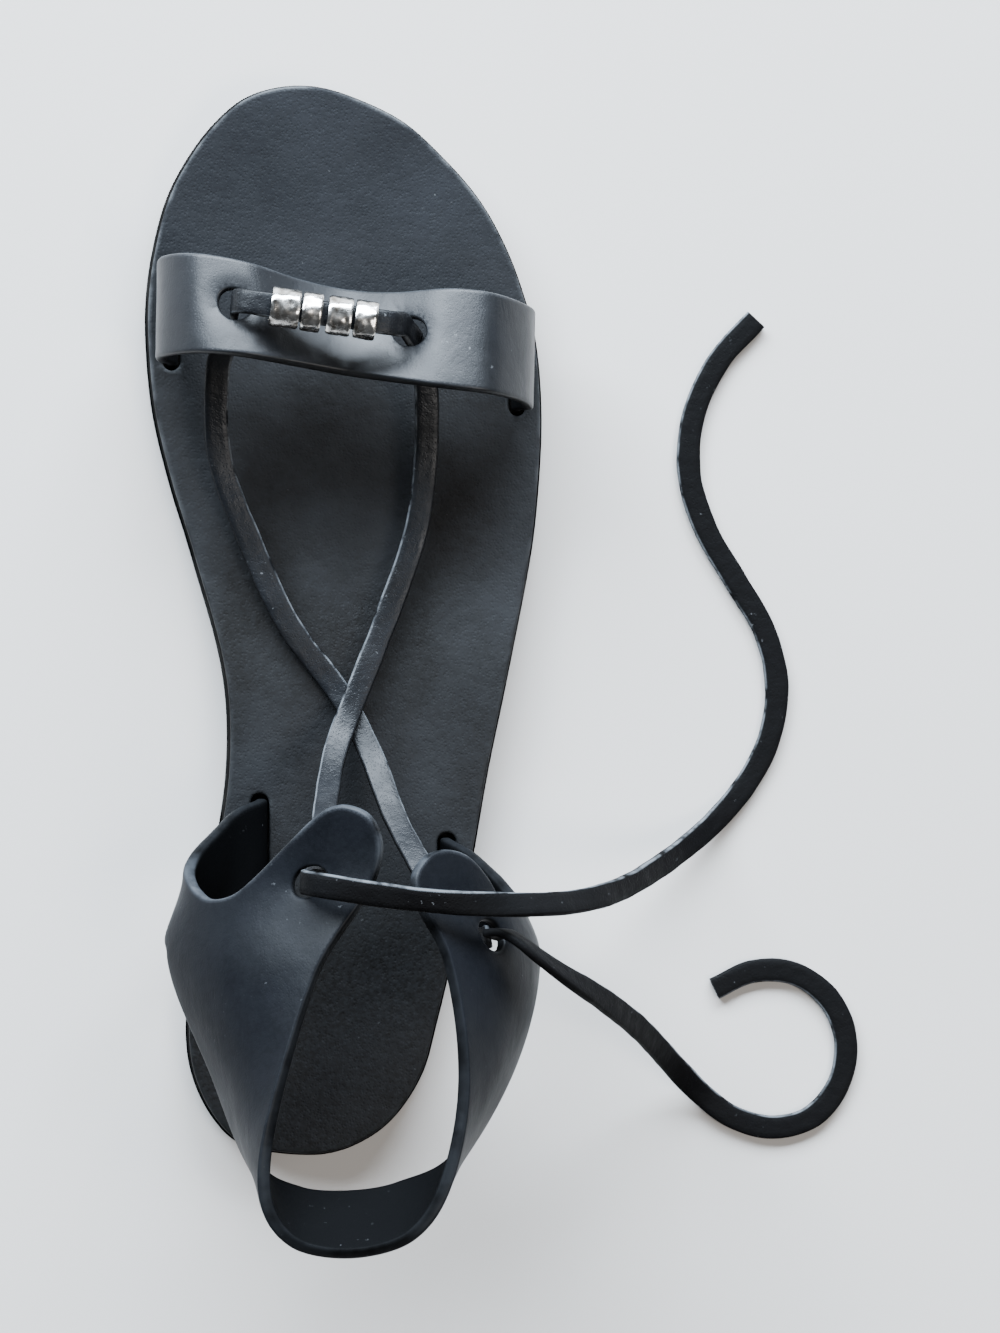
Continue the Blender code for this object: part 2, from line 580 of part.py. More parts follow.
def toe_strap():
    inner_x, inner_y, length = slot_place("toe_inner")
    outer_x, outer_y, _ = slot_place("toe_outer")
    tongue = length / 2
    bottom = OUTSOLE_THICK + GAP * 2
    rows = []
    upright = FOOTBED_THICK + STRAP_UPRIGHT
    for along, z in ((0.0, bottom), (upright, FOOTBED_TOP + STRAP_UPRIGHT)):
        rows.append((along, (inner_x, inner_y + tongue, z), (inner_x, inner_y - tongue, z)))
    for along, front, rear in TOE_STRAP_ROWS:
        rows.append((along, in_place(front), in_place(rear)))
    for along, z in ((TOE_STRAP_END - upright, FOOTBED_TOP + STRAP_UPRIGHT), (TOE_STRAP_END, bottom)):
        rows.append((along, (outer_x, outer_y + tongue, z), (outer_x, outer_y - tongue, z)))
    grid = np.array([row[:0:-1] for row in rows], float)
    outline = [(0.0, 0.0), (TOE_STRAP_END, 0.0), (TOE_STRAP_END, STRAP_WIDTH), (0.0, STRAP_WIDTH)]
    holes = []
    for along, across in TOE_STRAP_HOLES:
        holes.append(oval(along, (1 - across) * STRAP_WIDTH, LACE_HOLE_RADIUS, LACE_HOLE_RADIUS))
    alongs = [row[0] for row in rows]
    return bent_leather("toe_strap", alongs, (0.0, STRAP_WIDTH), grid, outline, holes, STRAP_THICK, "strap_leather")


def heel_piece():
    bottom = OUTSOLE_THICK + GAP * 2
    grid = []
    for along, slot, *shares in HEEL_ROWS:
        leg, bulge, shoulder, top = (np.array(in_place(share)) for share in shares)
        if slot:
            x, y, _ = slot_place(slot)
            front, rear, way = LEGS[slot]
            y += way * (along - (front + rear) / 2)
            foot = [(x, y, bottom), (x, y, FOOTBED_TOP + STRAP_UPRIGHT)]
        else:
            foot = [2 * leg - bulge] * 2
        grid.append([*foot, leg, bulge, shoulder, top])
    outline = []
    for edge in (HEEL_UPPER_EDGE, *HEEL_LOWER_EDGES):
        outline += smooth_path(edge, EDGE_STEP).tolist()
    ring = []
    for point in outline:
        if not ring or math.dist(point, ring[-1]) > SLOPE_STEP:
            ring.append(tuple(point))
    ring.reverse()
    holes = [oval(along, up, LACE_HOLE_RADIUS, half_up) for along, up, half_up in TAB_HOLES]
    alongs = [row[0] for row in HEEL_ROWS]
    return bent_leather(
        "heel_piece", alongs, HEEL_HEIGHTS, np.array(grid), ring, holes, HEEL_LEATHER_THICK, "strap_leather"
    )


def lace_strip(name, table):
    """A flat lace along a route, its face looking the way that the route says."""
    path = smooth_path(lace_route(table), LACE_STEP)
    places, facings = path[:, :3], path[:, 3:]
    ahead = np.gradient(places, axis=0)
    ahead /= np.linalg.norm(ahead, axis=1)[:, None]
    facings = facings - (facings * ahead).sum(1)[:, None] * ahead
    facings /= np.linalg.norm(facings, axis=1)[:, None]
    side = np.cross(ahead, facings)
    corners = ((-1, -1), (1, -1), (1, 1), (-1, 1))
    points, faces = [], []
    for place, face, across in zip(places, facings, side):
        points += [place + across * u * LACE_WIDTH / 2 + face * v * LACE_THICK / 2 for u, v in corners]
    for ring in range(len(places) - 1):
        for k in range(4):
            a, b = ring * 4 + k, ring * 4 + (k + 1) % 4
            faces.append((a, b, b + 4, a + 4))
    last = (len(places) - 1) * 4
    faces += [(3, 2, 1, 0), (last, last + 1, last + 2, last + 3)]
    item = add_object(name, points, faces, "lace_leather")
    edit = bmesh.new()
    edit.from_mesh(item.data)
    bmesh.ops.triangulate(edit, faces=edit.faces)
    bmesh.ops.recalc_face_normals(edit, faces=edit.faces)
    edit.to_mesh(item.data)
    edit.free()
    item.data.shade_smooth()
    item.data.set_sharp_from_angle(angle=SHARP_ANGLE)
    return item


def bead(name, offset, width):
    """A tube bead hanging on the bar, with its own origin on the bar's line."""
    outer, edge = BEAD_RADIUS, BEAD_WALL / 4
    profile = (
        (BEAD_BORE_RADIUS, -width / 2),
        (outer - edge, -width / 2),
        (outer, -width / 2 + edge),
        (outer, width / 2 - edge),
        (outer - edge, width / 2),
        (BEAD_BORE_RADIUS, width / 2),
    )
    points, faces = [], []
    for turn in range(BEAD_SIDES):
        angle = 2 * math.pi * turn / BEAD_SIDES
        points += [(r * math.cos(angle), r * math.sin(angle), z) for r, z in profile]
    count = len(profile)
    for turn in range(BEAD_SIDES):
        for k in range(count):
            a, b = turn * count + k, turn * count + (k + 1) % count
            following = (turn + 1) % BEAD_SIDES * count - turn * count
            faces.append((a, a + following, b + following, b))
    item = add_object(name, points, faces, "bead_metal")
    direction = Vector(BAR_DIRECTION).normalized()
    place = Vector(in_place(BAR_MIDDLE)) + direction * offset + Vector((0.0, 0.0, BAR_LIFT - BEAD_HANG))
    item.matrix_world = Matrix.Translation(place) @ direction.to_track_quat("Z", "Y").to_matrix().to_4x4()
    return item


def main():
    clear_scene()
    sole_layer("outsole", 0.0, 0.0, OUTSOLE_THICK, "outsole_rubber")
    footbed = sole_layer("footbed", FOOTBED_STEP, OUTSOLE_THICK + GAP, FOOTBED_THICK, "footbed_leather")
    for name in SLOTS:
        cut_slot(footbed, name, STRAP_THICK if name.startswith("toe") else HEEL_LEATHER_THICK)
    toe_strap()
    heel_piece()
    lace_strip("lace_bar", BAR_ROUTE)
    lace_cross = lace_strip("lace_cross", LOWER_RUN_ROUTE)
    cut(lace_cross, lace_strip("upper_run", UPPER_RUN_ROUTE), "UNION")
    lace_strip("lace_end_medial", INNER_END_ROUTE)
    lace_strip("lace_end_lateral", OUTER_END_ROUTE)
    for name, offset, width in BEADS:
        bead(name, offset, width)


main()
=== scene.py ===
"""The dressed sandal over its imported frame: fine leather, laces, beads and sole, with floor, lights and camera.

+Y points to the toe, +X to the little-toe side and +Z up. Sizes are in metres.
"""

import math

import bpy
import numpy as np
from mathutils import Matrix, Vector, noise
from mathutils.geometry import delaunay_2d_cdt


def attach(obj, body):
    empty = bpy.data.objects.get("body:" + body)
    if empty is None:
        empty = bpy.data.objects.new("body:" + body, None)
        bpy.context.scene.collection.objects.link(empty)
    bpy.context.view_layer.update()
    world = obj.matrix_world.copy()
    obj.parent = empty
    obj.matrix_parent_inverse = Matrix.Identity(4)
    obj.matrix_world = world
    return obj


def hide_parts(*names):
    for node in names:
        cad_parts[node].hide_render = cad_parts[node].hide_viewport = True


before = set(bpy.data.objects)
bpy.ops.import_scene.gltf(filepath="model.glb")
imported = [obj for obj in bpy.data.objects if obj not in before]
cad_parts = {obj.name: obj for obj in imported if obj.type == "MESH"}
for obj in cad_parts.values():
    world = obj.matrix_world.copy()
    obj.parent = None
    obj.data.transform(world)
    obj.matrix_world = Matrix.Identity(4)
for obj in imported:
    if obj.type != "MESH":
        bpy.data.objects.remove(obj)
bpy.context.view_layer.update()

# Driving sizes, in metres
SOLE_LENGTH = 0.250
SOLE_WIDTH = 0.093
HEEL_BEHIND_ORIGIN = 0.040
OUTSOLE_THICK = 0.0045
FOOTBED_THICK = 0.0040
FOOTBED_STEP = 0.0008
ARCH_RISE = 0.0016
TOE_SPRING = 0.0045
ANKLE_HEIGHT = 0.060
STRAP_WIDTH = 0.0235
TONGUE_WIDTH = 0.0200
LEG_WIDTH = 0.0185
STRAP_THICK = 0.0025
HEEL_LEATHER_THICK = 0.0028
LACE_WIDTH = 0.0055
LACE_THICK = 0.0020
LACE_HOLE_RADIUS = 0.0038
BEAD_BORE_RADIUS = 0.0036
BEAD_WALL = 0.0009
GAP = 0.0003
SLOT_CLEARANCE = 0.0008
STRAP_UPRIGHT = 0.0012
BEAD_HANG = 0.0010
LACE_ON_GROUND = 0.0013

# The flat treads, as shares of the sole's length from the heel
HEEL_TREAD_END = 0.32
BALL_TREAD_START = 0.56
BALL_TREAD_END = 0.80

FOOTBED_TOP = OUTSOLE_THICK + GAP + FOOTBED_THICK
BEAD_RADIUS = BEAD_BORE_RADIUS + BEAD_WALL
BAR_LIFT = BEAD_RADIUS + BEAD_HANG

# The sole's outline: share of the length from the heel, then its inner and outer edge as shares of its width
SOLE_OUTLINE = (
    (0.000, -0.040, -0.040),
    (0.009, -0.205, 0.070),
    (0.031, -0.280, 0.159),
    (0.076, -0.342, 0.241),
    (0.120, -0.357, 0.275),
    (0.187, -0.338, 0.318),
    (0.275, -0.290, 0.367),
    (0.364, -0.256, 0.409),
    (0.452, -0.266, 0.457),
    (0.563, -0.345, 0.516),
    (0.630, -0.400, 0.536),
    (0.696, -0.442, 0.543),
    (0.763, -0.459, 0.529),
    (0.807, -0.457, 0.499),
    (0.851, -0.439, 0.454),
    (0.896, -0.405, 0.385),
    (0.940, -0.340, 0.278),
    (0.968, -0.278, 0.189),
    (0.990, -0.199, 0.062),
    (1.000, -0.069, -0.069),
)

# The slots: their middle as shares across and along the sole, and the width of what goes in
SLOTS = {
    "toe_inner": (-0.393, 0.618, TONGUE_WIDTH),
    "toe_outer": (0.476, 0.578, TONGUE_WIDTH),
    "heel_inner": (-0.172, 0.137, LEG_WIDTH),
    "heel_outer": (0.298, 0.100, LEG_WIDTH),
}

# The toe strap bent over the toes. Each row is a line across the band: its place along the band in metres,
# then the front and the rear edge as x in sole widths, y in sole lengths and z in ankle heights over the footbed.
TOE_STRAP_ROWS = (
    (0.010, (-0.416, 0.669, 0.100), (-0.418, 0.579, 0.117)),
    (0.022, (-0.400, 0.673, 0.267), (-0.409, 0.580, 0.317)),
    (0.033, (-0.328, 0.671, 0.400), (-0.328, 0.580, 0.475)),
    (0.044, (-0.210, 0.662, 0.425), (-0.226, 0.576, 0.550)),
    (0.056, (-0.084, 0.650, 0.300), (-0.102, 0.570, 0.492)),
    (0.068, (0.040, 0.642, 0.242), (0.022, 0.563, 0.442)),
    (0.080, (0.160, 0.639, 0.308), (0.145, 0.556, 0.467)),
    (0.092, (0.285, 0.641, 0.408), (0.274, 0.549, 0.517)),
    (0.102, (0.382, 0.638, 0.400), (0.376, 0.545, 0.492)),
    (0.112, (0.468, 0.632, 0.258), (0.462, 0.541, 0.317)),
    (0.120, (0.501, 0.628, 0.100), (0.495, 0.537, 0.117)),
)
TOE_STRAP_END = 0.130

# The lace holes in the toe strap: place along the band in metres, and share across it from the front edge
TOE_STRAP_HOLES = (
    (0.0415, 0.47),
    (0.0830, 0.44),
)

# The heel piece bent round the heel. Each row is a line up the leather: its place along the piece in metres and
# the slot that it rises from, then leg, bulge, shoulder and top, in the same shares as the toe strap.
HEEL_ROWS = (
    (0.000, "heel_inner", (-0.258, 0.184, 0.183), (-0.339, 0.180, 0.450),
     (-0.204, 0.184, 0.767), (0.097, 0.184, 0.983)),
    (0.020, "heel_inner", (-0.269, 0.106, 0.183), (-0.355, 0.104, 0.450),
     (-0.215, 0.104, 0.758), (0.086, 0.112, 0.967)),
    (0.042, "heel_inner", (-0.355, 0.028, 0.233), (-0.396, 0.032, 0.450),
     (-0.258, 0.028, 0.800), (-0.032, 0.032, 1.017)),
    (0.066, "heel_inner", (-0.312, -0.064, 0.333), (-0.301, -0.064, 0.550),
     (-0.242, -0.066, 0.833), (-0.142, -0.072, 1.067)),
    (0.088, None, (-0.210, -0.140, 0.450), (-0.204, -0.142, 0.667),
     (-0.194, -0.148, 0.900), (-0.183, -0.158, 1.133)),
    (0.106, None, (-0.081, -0.132, 0.550), (-0.091, -0.156, 0.750),
     (-0.102, -0.180, 0.933), (-0.124, -0.204, 1.150)),
    (0.120, None, (0.030, -0.132, 0.567), (0.026, -0.158, 0.767),
     (0.022, -0.184, 0.958), (0.014, -0.216, 1.167)),
    (0.134, None, (0.129, -0.130, 0.550), (0.138, -0.153, 0.750),
     (0.146, -0.176, 0.933), (0.157, -0.200, 1.158)),
    (0.152, None, (0.301, -0.130, 0.450), (0.290, -0.136, 0.667),
     (0.263, -0.144, 0.900), (0.237, -0.148, 1.133)),
    (0.174, "heel_outer", (0.435, -0.060, 0.333), (0.430, -0.060, 0.550),
     (0.366, -0.060, 0.833), (0.274, -0.060, 1.075)),
    (0.198, "heel_outer", (0.457, 0.028, 0.233), (0.489, 0.032, 0.450),
     (0.398, 0.032, 0.783), (0.237, 0.040, 1.008)),
    (0.216, "heel_outer", (0.366, 0.096, 0.167), (0.435, 0.092, 0.400),
     (0.366, 0.096, 0.717), (0.161, 0.104, 0.950)),
    (0.236, "heel_outer", (0.355, 0.168, 0.167), (0.398, 0.164, 0.383),
     (0.344, 0.168, 0.667), (0.151, 0.168, 0.917)),
)

# How far up the leather each line of points of the heel piece lies: slot bottom, slot top, leg, bulge, shoulder, top
HEEL_HEIGHTS = (0.000, FOOTBED_THICK + STRAP_UPRIGHT, 0.018, 0.035, 0.058, 0.088)

# Where each leg of the heel piece lies along it: its front edge, its rear edge and the way that y runs there
INNER_LEG = (0.0030, 0.0030 + LEG_WIDTH, -1)
OUTER_LEG = (0.2260, 0.2260 - LEG_WIDTH, 1)
LEGS = {"heel_inner": INNER_LEG, "heel_outer": OUTER_LEG}

# The heel piece's cut, in metres along the piece and up the leather, from the inner slot's front end round the
# inner tab, along the upper edge and round the outer tab to the outer slot's front end
HEEL_UPPER_EDGE = (
    (INNER_LEG[0], 0.0000),
    (INNER_LEG[0], 0.0050),
    (0.0050, 0.0140),
    (0.0120, 0.0270),
    (0.0175, 0.0350),
    (0.0215, 0.0420),
    (0.0238, 0.0480),
    (0.0228, 0.0540),
    (0.0190, 0.0590),
    (0.0110, 0.0670),
    (0.0035, 0.0750),
    (0.0022, 0.0795),
    (0.0045, 0.0848),
    (0.0105, 0.0875),
    (0.0190, 0.0874),
    (0.0420, 0.0850),
    (0.0660, 0.0862),
    (0.0880, 0.0840),
    (0.1060, 0.0832),
    (0.1200, 0.0830),
    (0.1340, 0.0832),
    (0.1520, 0.0845),
    (0.1740, 0.0862),
    (0.2010, 0.0868),
    (0.2110, 0.0876),
    (0.2190, 0.0862),
    (0.2245, 0.0810),
    (0.2262, 0.0745),
    (0.2245, 0.0670),
    (0.2195, 0.0605),
    (0.2140, 0.0555),
    (0.2112, 0.0490),
    (0.2115, 0.0420),
    (0.2150, 0.0335),
    (0.2200, 0.0260),
    (0.2240, 0.0170),
    (OUTER_LEG[0], 0.0050),
    (OUTER_LEG[0], 0.0000),
)

# Its lower edge, from the outer slot's rear end back to the inner slot's. The two corners are sharp.
HEEL_LOWER_EDGES = (
    ((OUTER_LEG[1], 0.0000), (OUTER_LEG[1], 0.0050), (0.2045, 0.0160), (0.2010, 0.0270), (0.1970, 0.0355)),
    (
        (0.1970, 0.0355),
        (0.1880, 0.0365),
        (0.1740, 0.0387),
        (0.1520, 0.0425),
        (0.1340, 0.0425),
        (0.1200, 0.0430),
        (0.1060, 0.0425),
        (0.0880, 0.0425),
        (0.0660, 0.0390),
        (0.0500, 0.0368),
        (0.0395, 0.0355),
    ),
    ((0.0395, 0.0355), (0.0320, 0.0255), (0.0262, 0.0150), (INNER_LEG[1], 0.0050), (INNER_LEG[1], 0.0000)),
)

# The lace holes in the two tabs: place along and up, and half their height in the cut
TAB_HOLES = (
    (0.0200, 0.0730, 0.0038),
    (0.2050, 0.0640, 0.0052),
)

# The lace over the toe strap: each point in the toe strap's shares, the way that its face looks, and how much of
# BAR_LIFT it is raised by, so that the beads clear the strap
BAR_ROUTE = (
    ((-0.2441, 0.6176, 0.4100), (-1.0, 0.1, 0.0), 0.0),
    ((-0.2441, 0.6232, 0.4833), (-1.0, 0.1, 0.0), 0.0),
    ((-0.2409, 0.6256, 0.4917), (-1.0, 0.1, 0.3), 0.4),
    ((-0.2226, 0.6248, 0.4933), (-0.6, 0.1, 0.8), 0.8),
    ((-0.1849, 0.6224, 0.4900), (0.0, 0.0, 1.0), 1.0),
    ((-0.0376, 0.6144, 0.4900), (0.0, 0.0, 1.0), 1.0),
    ((0.1129, 0.6068, 0.4850), (0.1, 0.0, 1.0), 1.0),
    ((0.1505, 0.6060, 0.4700), (0.7, -0.1, 0.7), 0.8),
    ((0.1677, 0.6072, 0.4425), (1.0, -0.1, 0.3), 0.3),
    ((0.1849, 0.6020, 0.3967), (0.9, -0.1, 0.4), 0.0),
    ((0.2043, 0.5948, 0.3283), (0.9, -0.1, 0.4), 0.0),
)

# The two runs from under the toe strap to the tabs, the lower one first, in the same shares
LOWER_RUN_ROUTE = (
    ((-0.2441, 0.6164, 0.3967), (-1.0, 0.1, 0.0)),
    ((-0.2452, 0.6124, 0.3483), (-1.0, 0.2, -0.1)),
    ((-0.2591, 0.5972, 0.2917), (-0.1, 0.5, 0.9)),
    ((-0.2817, 0.5680, 0.2283), (0.0, 0.2, 1.0)),
    ((-0.2753, 0.4920, 0.1283), (0.0, 0.1, 1.0)),
    ((-0.2043, 0.4188, 0.0867), (0.0, 0.0, 1.0)),
    ((-0.1022, 0.3364, 0.0733), (0.0, 0.0, 1.0)),
    ((0.0258, 0.2720, 0.0733), (0.0, 0.0, 1.0)),
    ((0.0989, 0.2180, 0.1450), (0.0, 0.3, 1.0)),
    ((0.1527, 0.1600, 0.3033), (0.0, 0.6, 0.8)),
    ((0.2043, 0.1200, 0.4700), (-0.1, 0.7, 0.7)),
    ((0.2602, 0.0820, 0.6033), (-0.1, 0.7, 0.7)),
    ((0.3065, 0.0580, 0.7200), (-0.4, 0.5, 0.6)),
    ((0.3355, 0.0548, 0.7800), (-0.6, 0.4, 0.5)),
    ((0.3538, 0.0580, 0.8100), (-0.7, 0.2, 0.6)),
)
UPPER_RUN_ROUTE = (
    ((0.2075, 0.5936, 0.3167), (0.9, -0.1, 0.4)),
    ((0.2172, 0.5896, 0.2817), (0.8, 0.2, 0.5)),
    ((0.2280, 0.5720, 0.2400), (0.1, 0.4, 0.9)),
    ((0.2376, 0.5440, 0.1917), (0.0, 0.2, 1.0)),
    ((0.2376, 0.4900, 0.1283), (0.0, 0.1, 1.0)),
    ((0.2151, 0.4240, 0.0950), (0.0, 0.0, 1.0)),
    ((0.1441, 0.3460, 0.0867), (0.0, 0.0, 1.0)),
    ((0.0591, 0.2660, 0.1033), (0.0, 0.1, 1.0)),
    ((0.0108, 0.2200, 0.1950), (0.0, 0.6, 0.8)),
    ((-0.0194, 0.1740, 0.4033), (0.0, 0.8, 0.6)),
    ((-0.0366, 0.1384, 0.6200), (0.0, 0.8, 0.5)),
    ((-0.0559, 0.1104, 0.8033), (-0.7, 0.7, 0.2)),
    ((-0.0699, 0.1080, 0.8633), (-1.0, 0.1, -0.4)),
)

# The free ends, from the tab holes over the outer side and down to lie on the ground
INNER_END_ROUTE = (
    ((-0.0720, 0.1080, 0.8783), (-1.0, 0.1, -0.4)),
    ((-0.0871, 0.1088, 0.9367), (-1.0, 0.1, -0.2)),
    ((-0.0860, 0.1088, 0.9933), (-1.0, 0.0, 0.3)),
    ((-0.0634, 0.1076, 1.0400), (-0.6, 0.0, 0.8)),
    ((-0.0215, 0.1052, 1.0633), (-0.1, -0.1, 1.0)),
    ((0.0430, 0.1012, 1.0667), (0.0, -0.2, 1.0)),
    ((0.1075, 0.0976, 1.0617), (0.0, -0.2, 1.0)),
    ((0.1720, 0.0944, 1.0517), (0.0, -0.3, 1.0)),
    ((0.2581, 0.0912, 1.0283), (0.1, -0.2, 1.0)),
    ((0.3548, 0.0888, 0.9817), (0.3, 0.1, 0.9)),
    ((0.4570, 0.0872, 0.9033), (0.4, 0.5, 0.8)),
    ((0.5538, 0.0872, 0.7700), (0.6, 0.5, 0.7)),
    ((0.6398, 0.0904, 0.6033), (0.7, 0.3, 0.7)),
    ((0.7204, 0.0968, 0.4033), (0.8, 0.0, 0.6)),
    ((0.8011, 0.1080, 0.2033), (0.7, 0.0, 0.7)),
    ((0.8871, 0.1240, 0.0200), (0.6, 0.0, 0.8)),
    ((0.9839, 0.1500, -0.0967), (0.3, 0.0, 1.0)),
    ((1.0699, 0.1860, -0.1250), (0.0, 0.0, 1.0)),
    ((1.1290, 0.2280, -0.1250), (0.0, 0.0, 1.0)),
    ((1.1505, 0.2800, -0.1250), (0.0, 0.0, 1.0)),
    ((1.1183, 0.3320, -0.1250), (0.0, 0.0, 1.0)),
    ((1.0430, 0.3800, -0.1250), (0.0, 0.0, 1.0)),
    ((0.9677, 0.4280, -0.1250), (0.0, 0.0, 1.0)),
    ((0.9247, 0.4800, -0.1250), (0.0, 0.0, 1.0)),
    ((0.9355, 0.5360, -0.1250), (0.0, 0.0, 1.0)),
    ((1.0000, 0.5880, -0.1250), (0.0, 0.0, 1.0)),
    ((1.0968, 0.6280, -0.1250), (0.0, 0.0, 1.0)),
)
OUTER_END_ROUTE = (
    ((0.3591, 0.0592, 0.8183), (0.0, 1.0, -0.4)),
    ((0.3871, 0.0620, 0.8600), (0.1, 1.0, 0.0)),
    ((0.4194, 0.0560, 0.8900), (0.3, 0.9, 0.2)),
    ((0.4677, 0.0420, 0.8833), (0.4, 0.8, 0.4)),
    ((0.5376, 0.0232, 0.8200), (0.5, 0.6, 0.6)),
    ((0.6183, 0.0040, 0.6867), (0.6, 0.3, 0.7)),
    ((0.6935, -0.0160, 0.5033), (0.7, 0.0, 0.7)),
    ((0.7634, -0.0368, 0.3033), (0.7, -0.2, 0.7)),
    ((0.8258, -0.0592, 0.1200), (0.6, -0.3, 0.7)),
    ((0.8903, -0.0840, -0.0267), (0.3, -0.3, 0.9)),
    ((0.9591, -0.1088, -0.1100), (0.1, -0.1, 1.0)),
    ((1.0376, -0.1300, -0.1250), (0.0, 0.0, 1.0)),
    ((1.1398, -0.1400, -0.1250), (0.0, 0.0, 1.0)),
    ((1.2419, -0.1300, -0.1250), (0.0, 0.0, 1.0)),
    ((1.3118, -0.0980, -0.1250), (0.0, 0.0, 1.0)),
    ((1.3280, -0.0560, -0.1250), (0.0, 0.0, 1.0)),
    ((1.2849, -0.0180, -0.1250), (0.0, 0.0, 1.0)),
    ((1.1935, 0.0060, -0.1250), (0.0, 0.0, 1.0)),
    ((1.0860, 0.0080, -0.1250), (0.0, 0.0, 1.0)),
    ((0.9892, -0.0080, -0.1250), (0.0, 0.0, 1.0)),
)

# The beads on the bar, in metres: distance of each one's middle from the bar's middle, and its width. The bar's
# middle is in the toe strap's shares.
BEADS = (
    ("bead_1", -0.0086, 0.0065),
    ("bead_2", -0.0026, 0.0044),
    ("bead_3", 0.0037, 0.0054),
    ("bead_4", 0.0096, 0.0049),
)
BAR_MIDDLE = (-0.0323, 0.6142, 0.4900)
BAR_DIRECTION = (0.990, -0.141, 0.0)


def weights(knots, at):
    """How much each knot's value counts at each place, on one smooth curve through all the knots."""
    knots, at = np.asarray(knots, float), np.atleast_1d(np.asarray(at, float))
    count, rows = len(knots), np.arange(len(at))
    left = np.clip(np.searchsorted(knots, at, side="right") - 1, 0, count - 2)
    step = knots[left + 1] - knots[left]
    u = (at - knots[left]) / step
    result = np.zeros((len(at), count))
    result[rows, left] += 2 * u**3 - 3 * u**2 + 1
    result[rows, left + 1] += 3 * u**2 - 2 * u**3
    for end, basis in ((left, u**3 - 2 * u**2 + u), (left + 1, u**3 - u**2)):
        before, after = np.maximum(end - 1, 0), np.minimum(end + 1, count - 1)
        slope = basis * step / (knots[after] - knots[before])
        np.add.at(result, (rows, after), slope)
        np.add.at(result, (rows, before), -slope)
    return result


def smooth_path(points, spacing):
    """Points about spacing apart on the smooth curve through points."""
    points = np.asarray(points, float)
    knots = np.concatenate([[0.0], np.cumsum(np.linalg.norm(np.diff(points[:, :3], axis=0), axis=1))])
    count = max(2, round(knots[-1] / spacing))
    return weights(knots, np.linspace(0.0, knots[-1], count + 1)) @ points


def smooth_step(share):
    share = min(max(share, 0.0), 1.0)
    return share * share * (3 - 2 * share)


def sole_rise(y):
    """How far the outsole's underside is off the ground: none on the treads, some at the waist and the toe.

    The waist rises and falls in one smooth hump. The toe takes the first half of a smooth step, so it leaves the
    tread level and is steepest at its tip.
    """
    share = (y + HEEL_BEHIND_ORIGIN) / SOLE_LENGTH
    waist = (share - HEEL_TREAD_END) / (BALL_TREAD_START - HEEL_TREAD_END)
    toe = (share - BALL_TREAD_END) / (1 - BALL_TREAD_END)
    return ARCH_RISE * smooth_step(2 * min(waist, 1 - waist)) + 2 * TOE_SPRING * smooth_step(toe / 2)


def slot_place(name):
    x, y, length = SLOTS[name]
    return x * SOLE_WIDTH, y * SOLE_LENGTH, length


def in_place(share):
    x, y, z = share
    return (x * SOLE_WIDTH, y * SOLE_LENGTH, FOOTBED_TOP + z * ANKLE_HEIGHT)


def lace_route(table):
    """Rows of a lace's place in metres and the way its face looks. No part of it goes under the ground."""
    rows = []
    for share, facing, *lift in table:
        x, y, z = in_place(share)
        rows.append((x, y, max(z, LACE_ON_GROUND) + BAR_LIFT * sum(lift), *facing))
    return np.array(rows)


# How finely the pieces are meshed, in metres
STRAP_CELL = 0.0009
HEEL_CELL = 0.0013
SOLE_CELL = 0.0024
EDGE_STEP = 0.0006
SLOPE_STEP = 0.0002
SHARP_ANGLE = math.radians(50)
RIB_PITCH = 0.0015
RIB_DEPTH = 0.00014

# The camera stands where the photographer's did, and looks at the one shoe
CAMERA_PLACE = (-0.0462, 0.0711, 0.9090)
CAMERA_AIM = (0.0410, 0.0745, 0.0)
CAMERA_LENS = 69.5
CAMERA_SENSOR = 24.0

# Soft lights: name, place, width and height in metres, power in watts and colour
LIGHTS = (
    ("window", (-0.28, 1.46, 0.92), 2.80, 0.85, 450.0, (0.77, 0.88, 1.0)),
    ("ceiling", (0.75, -0.35, 1.50), 0.60, 0.60, 24.0, (1.0, 0.96, 0.92)),
)
SKY = (0.90, 0.95, 1.0)
SKY_STRENGTH = 0.10


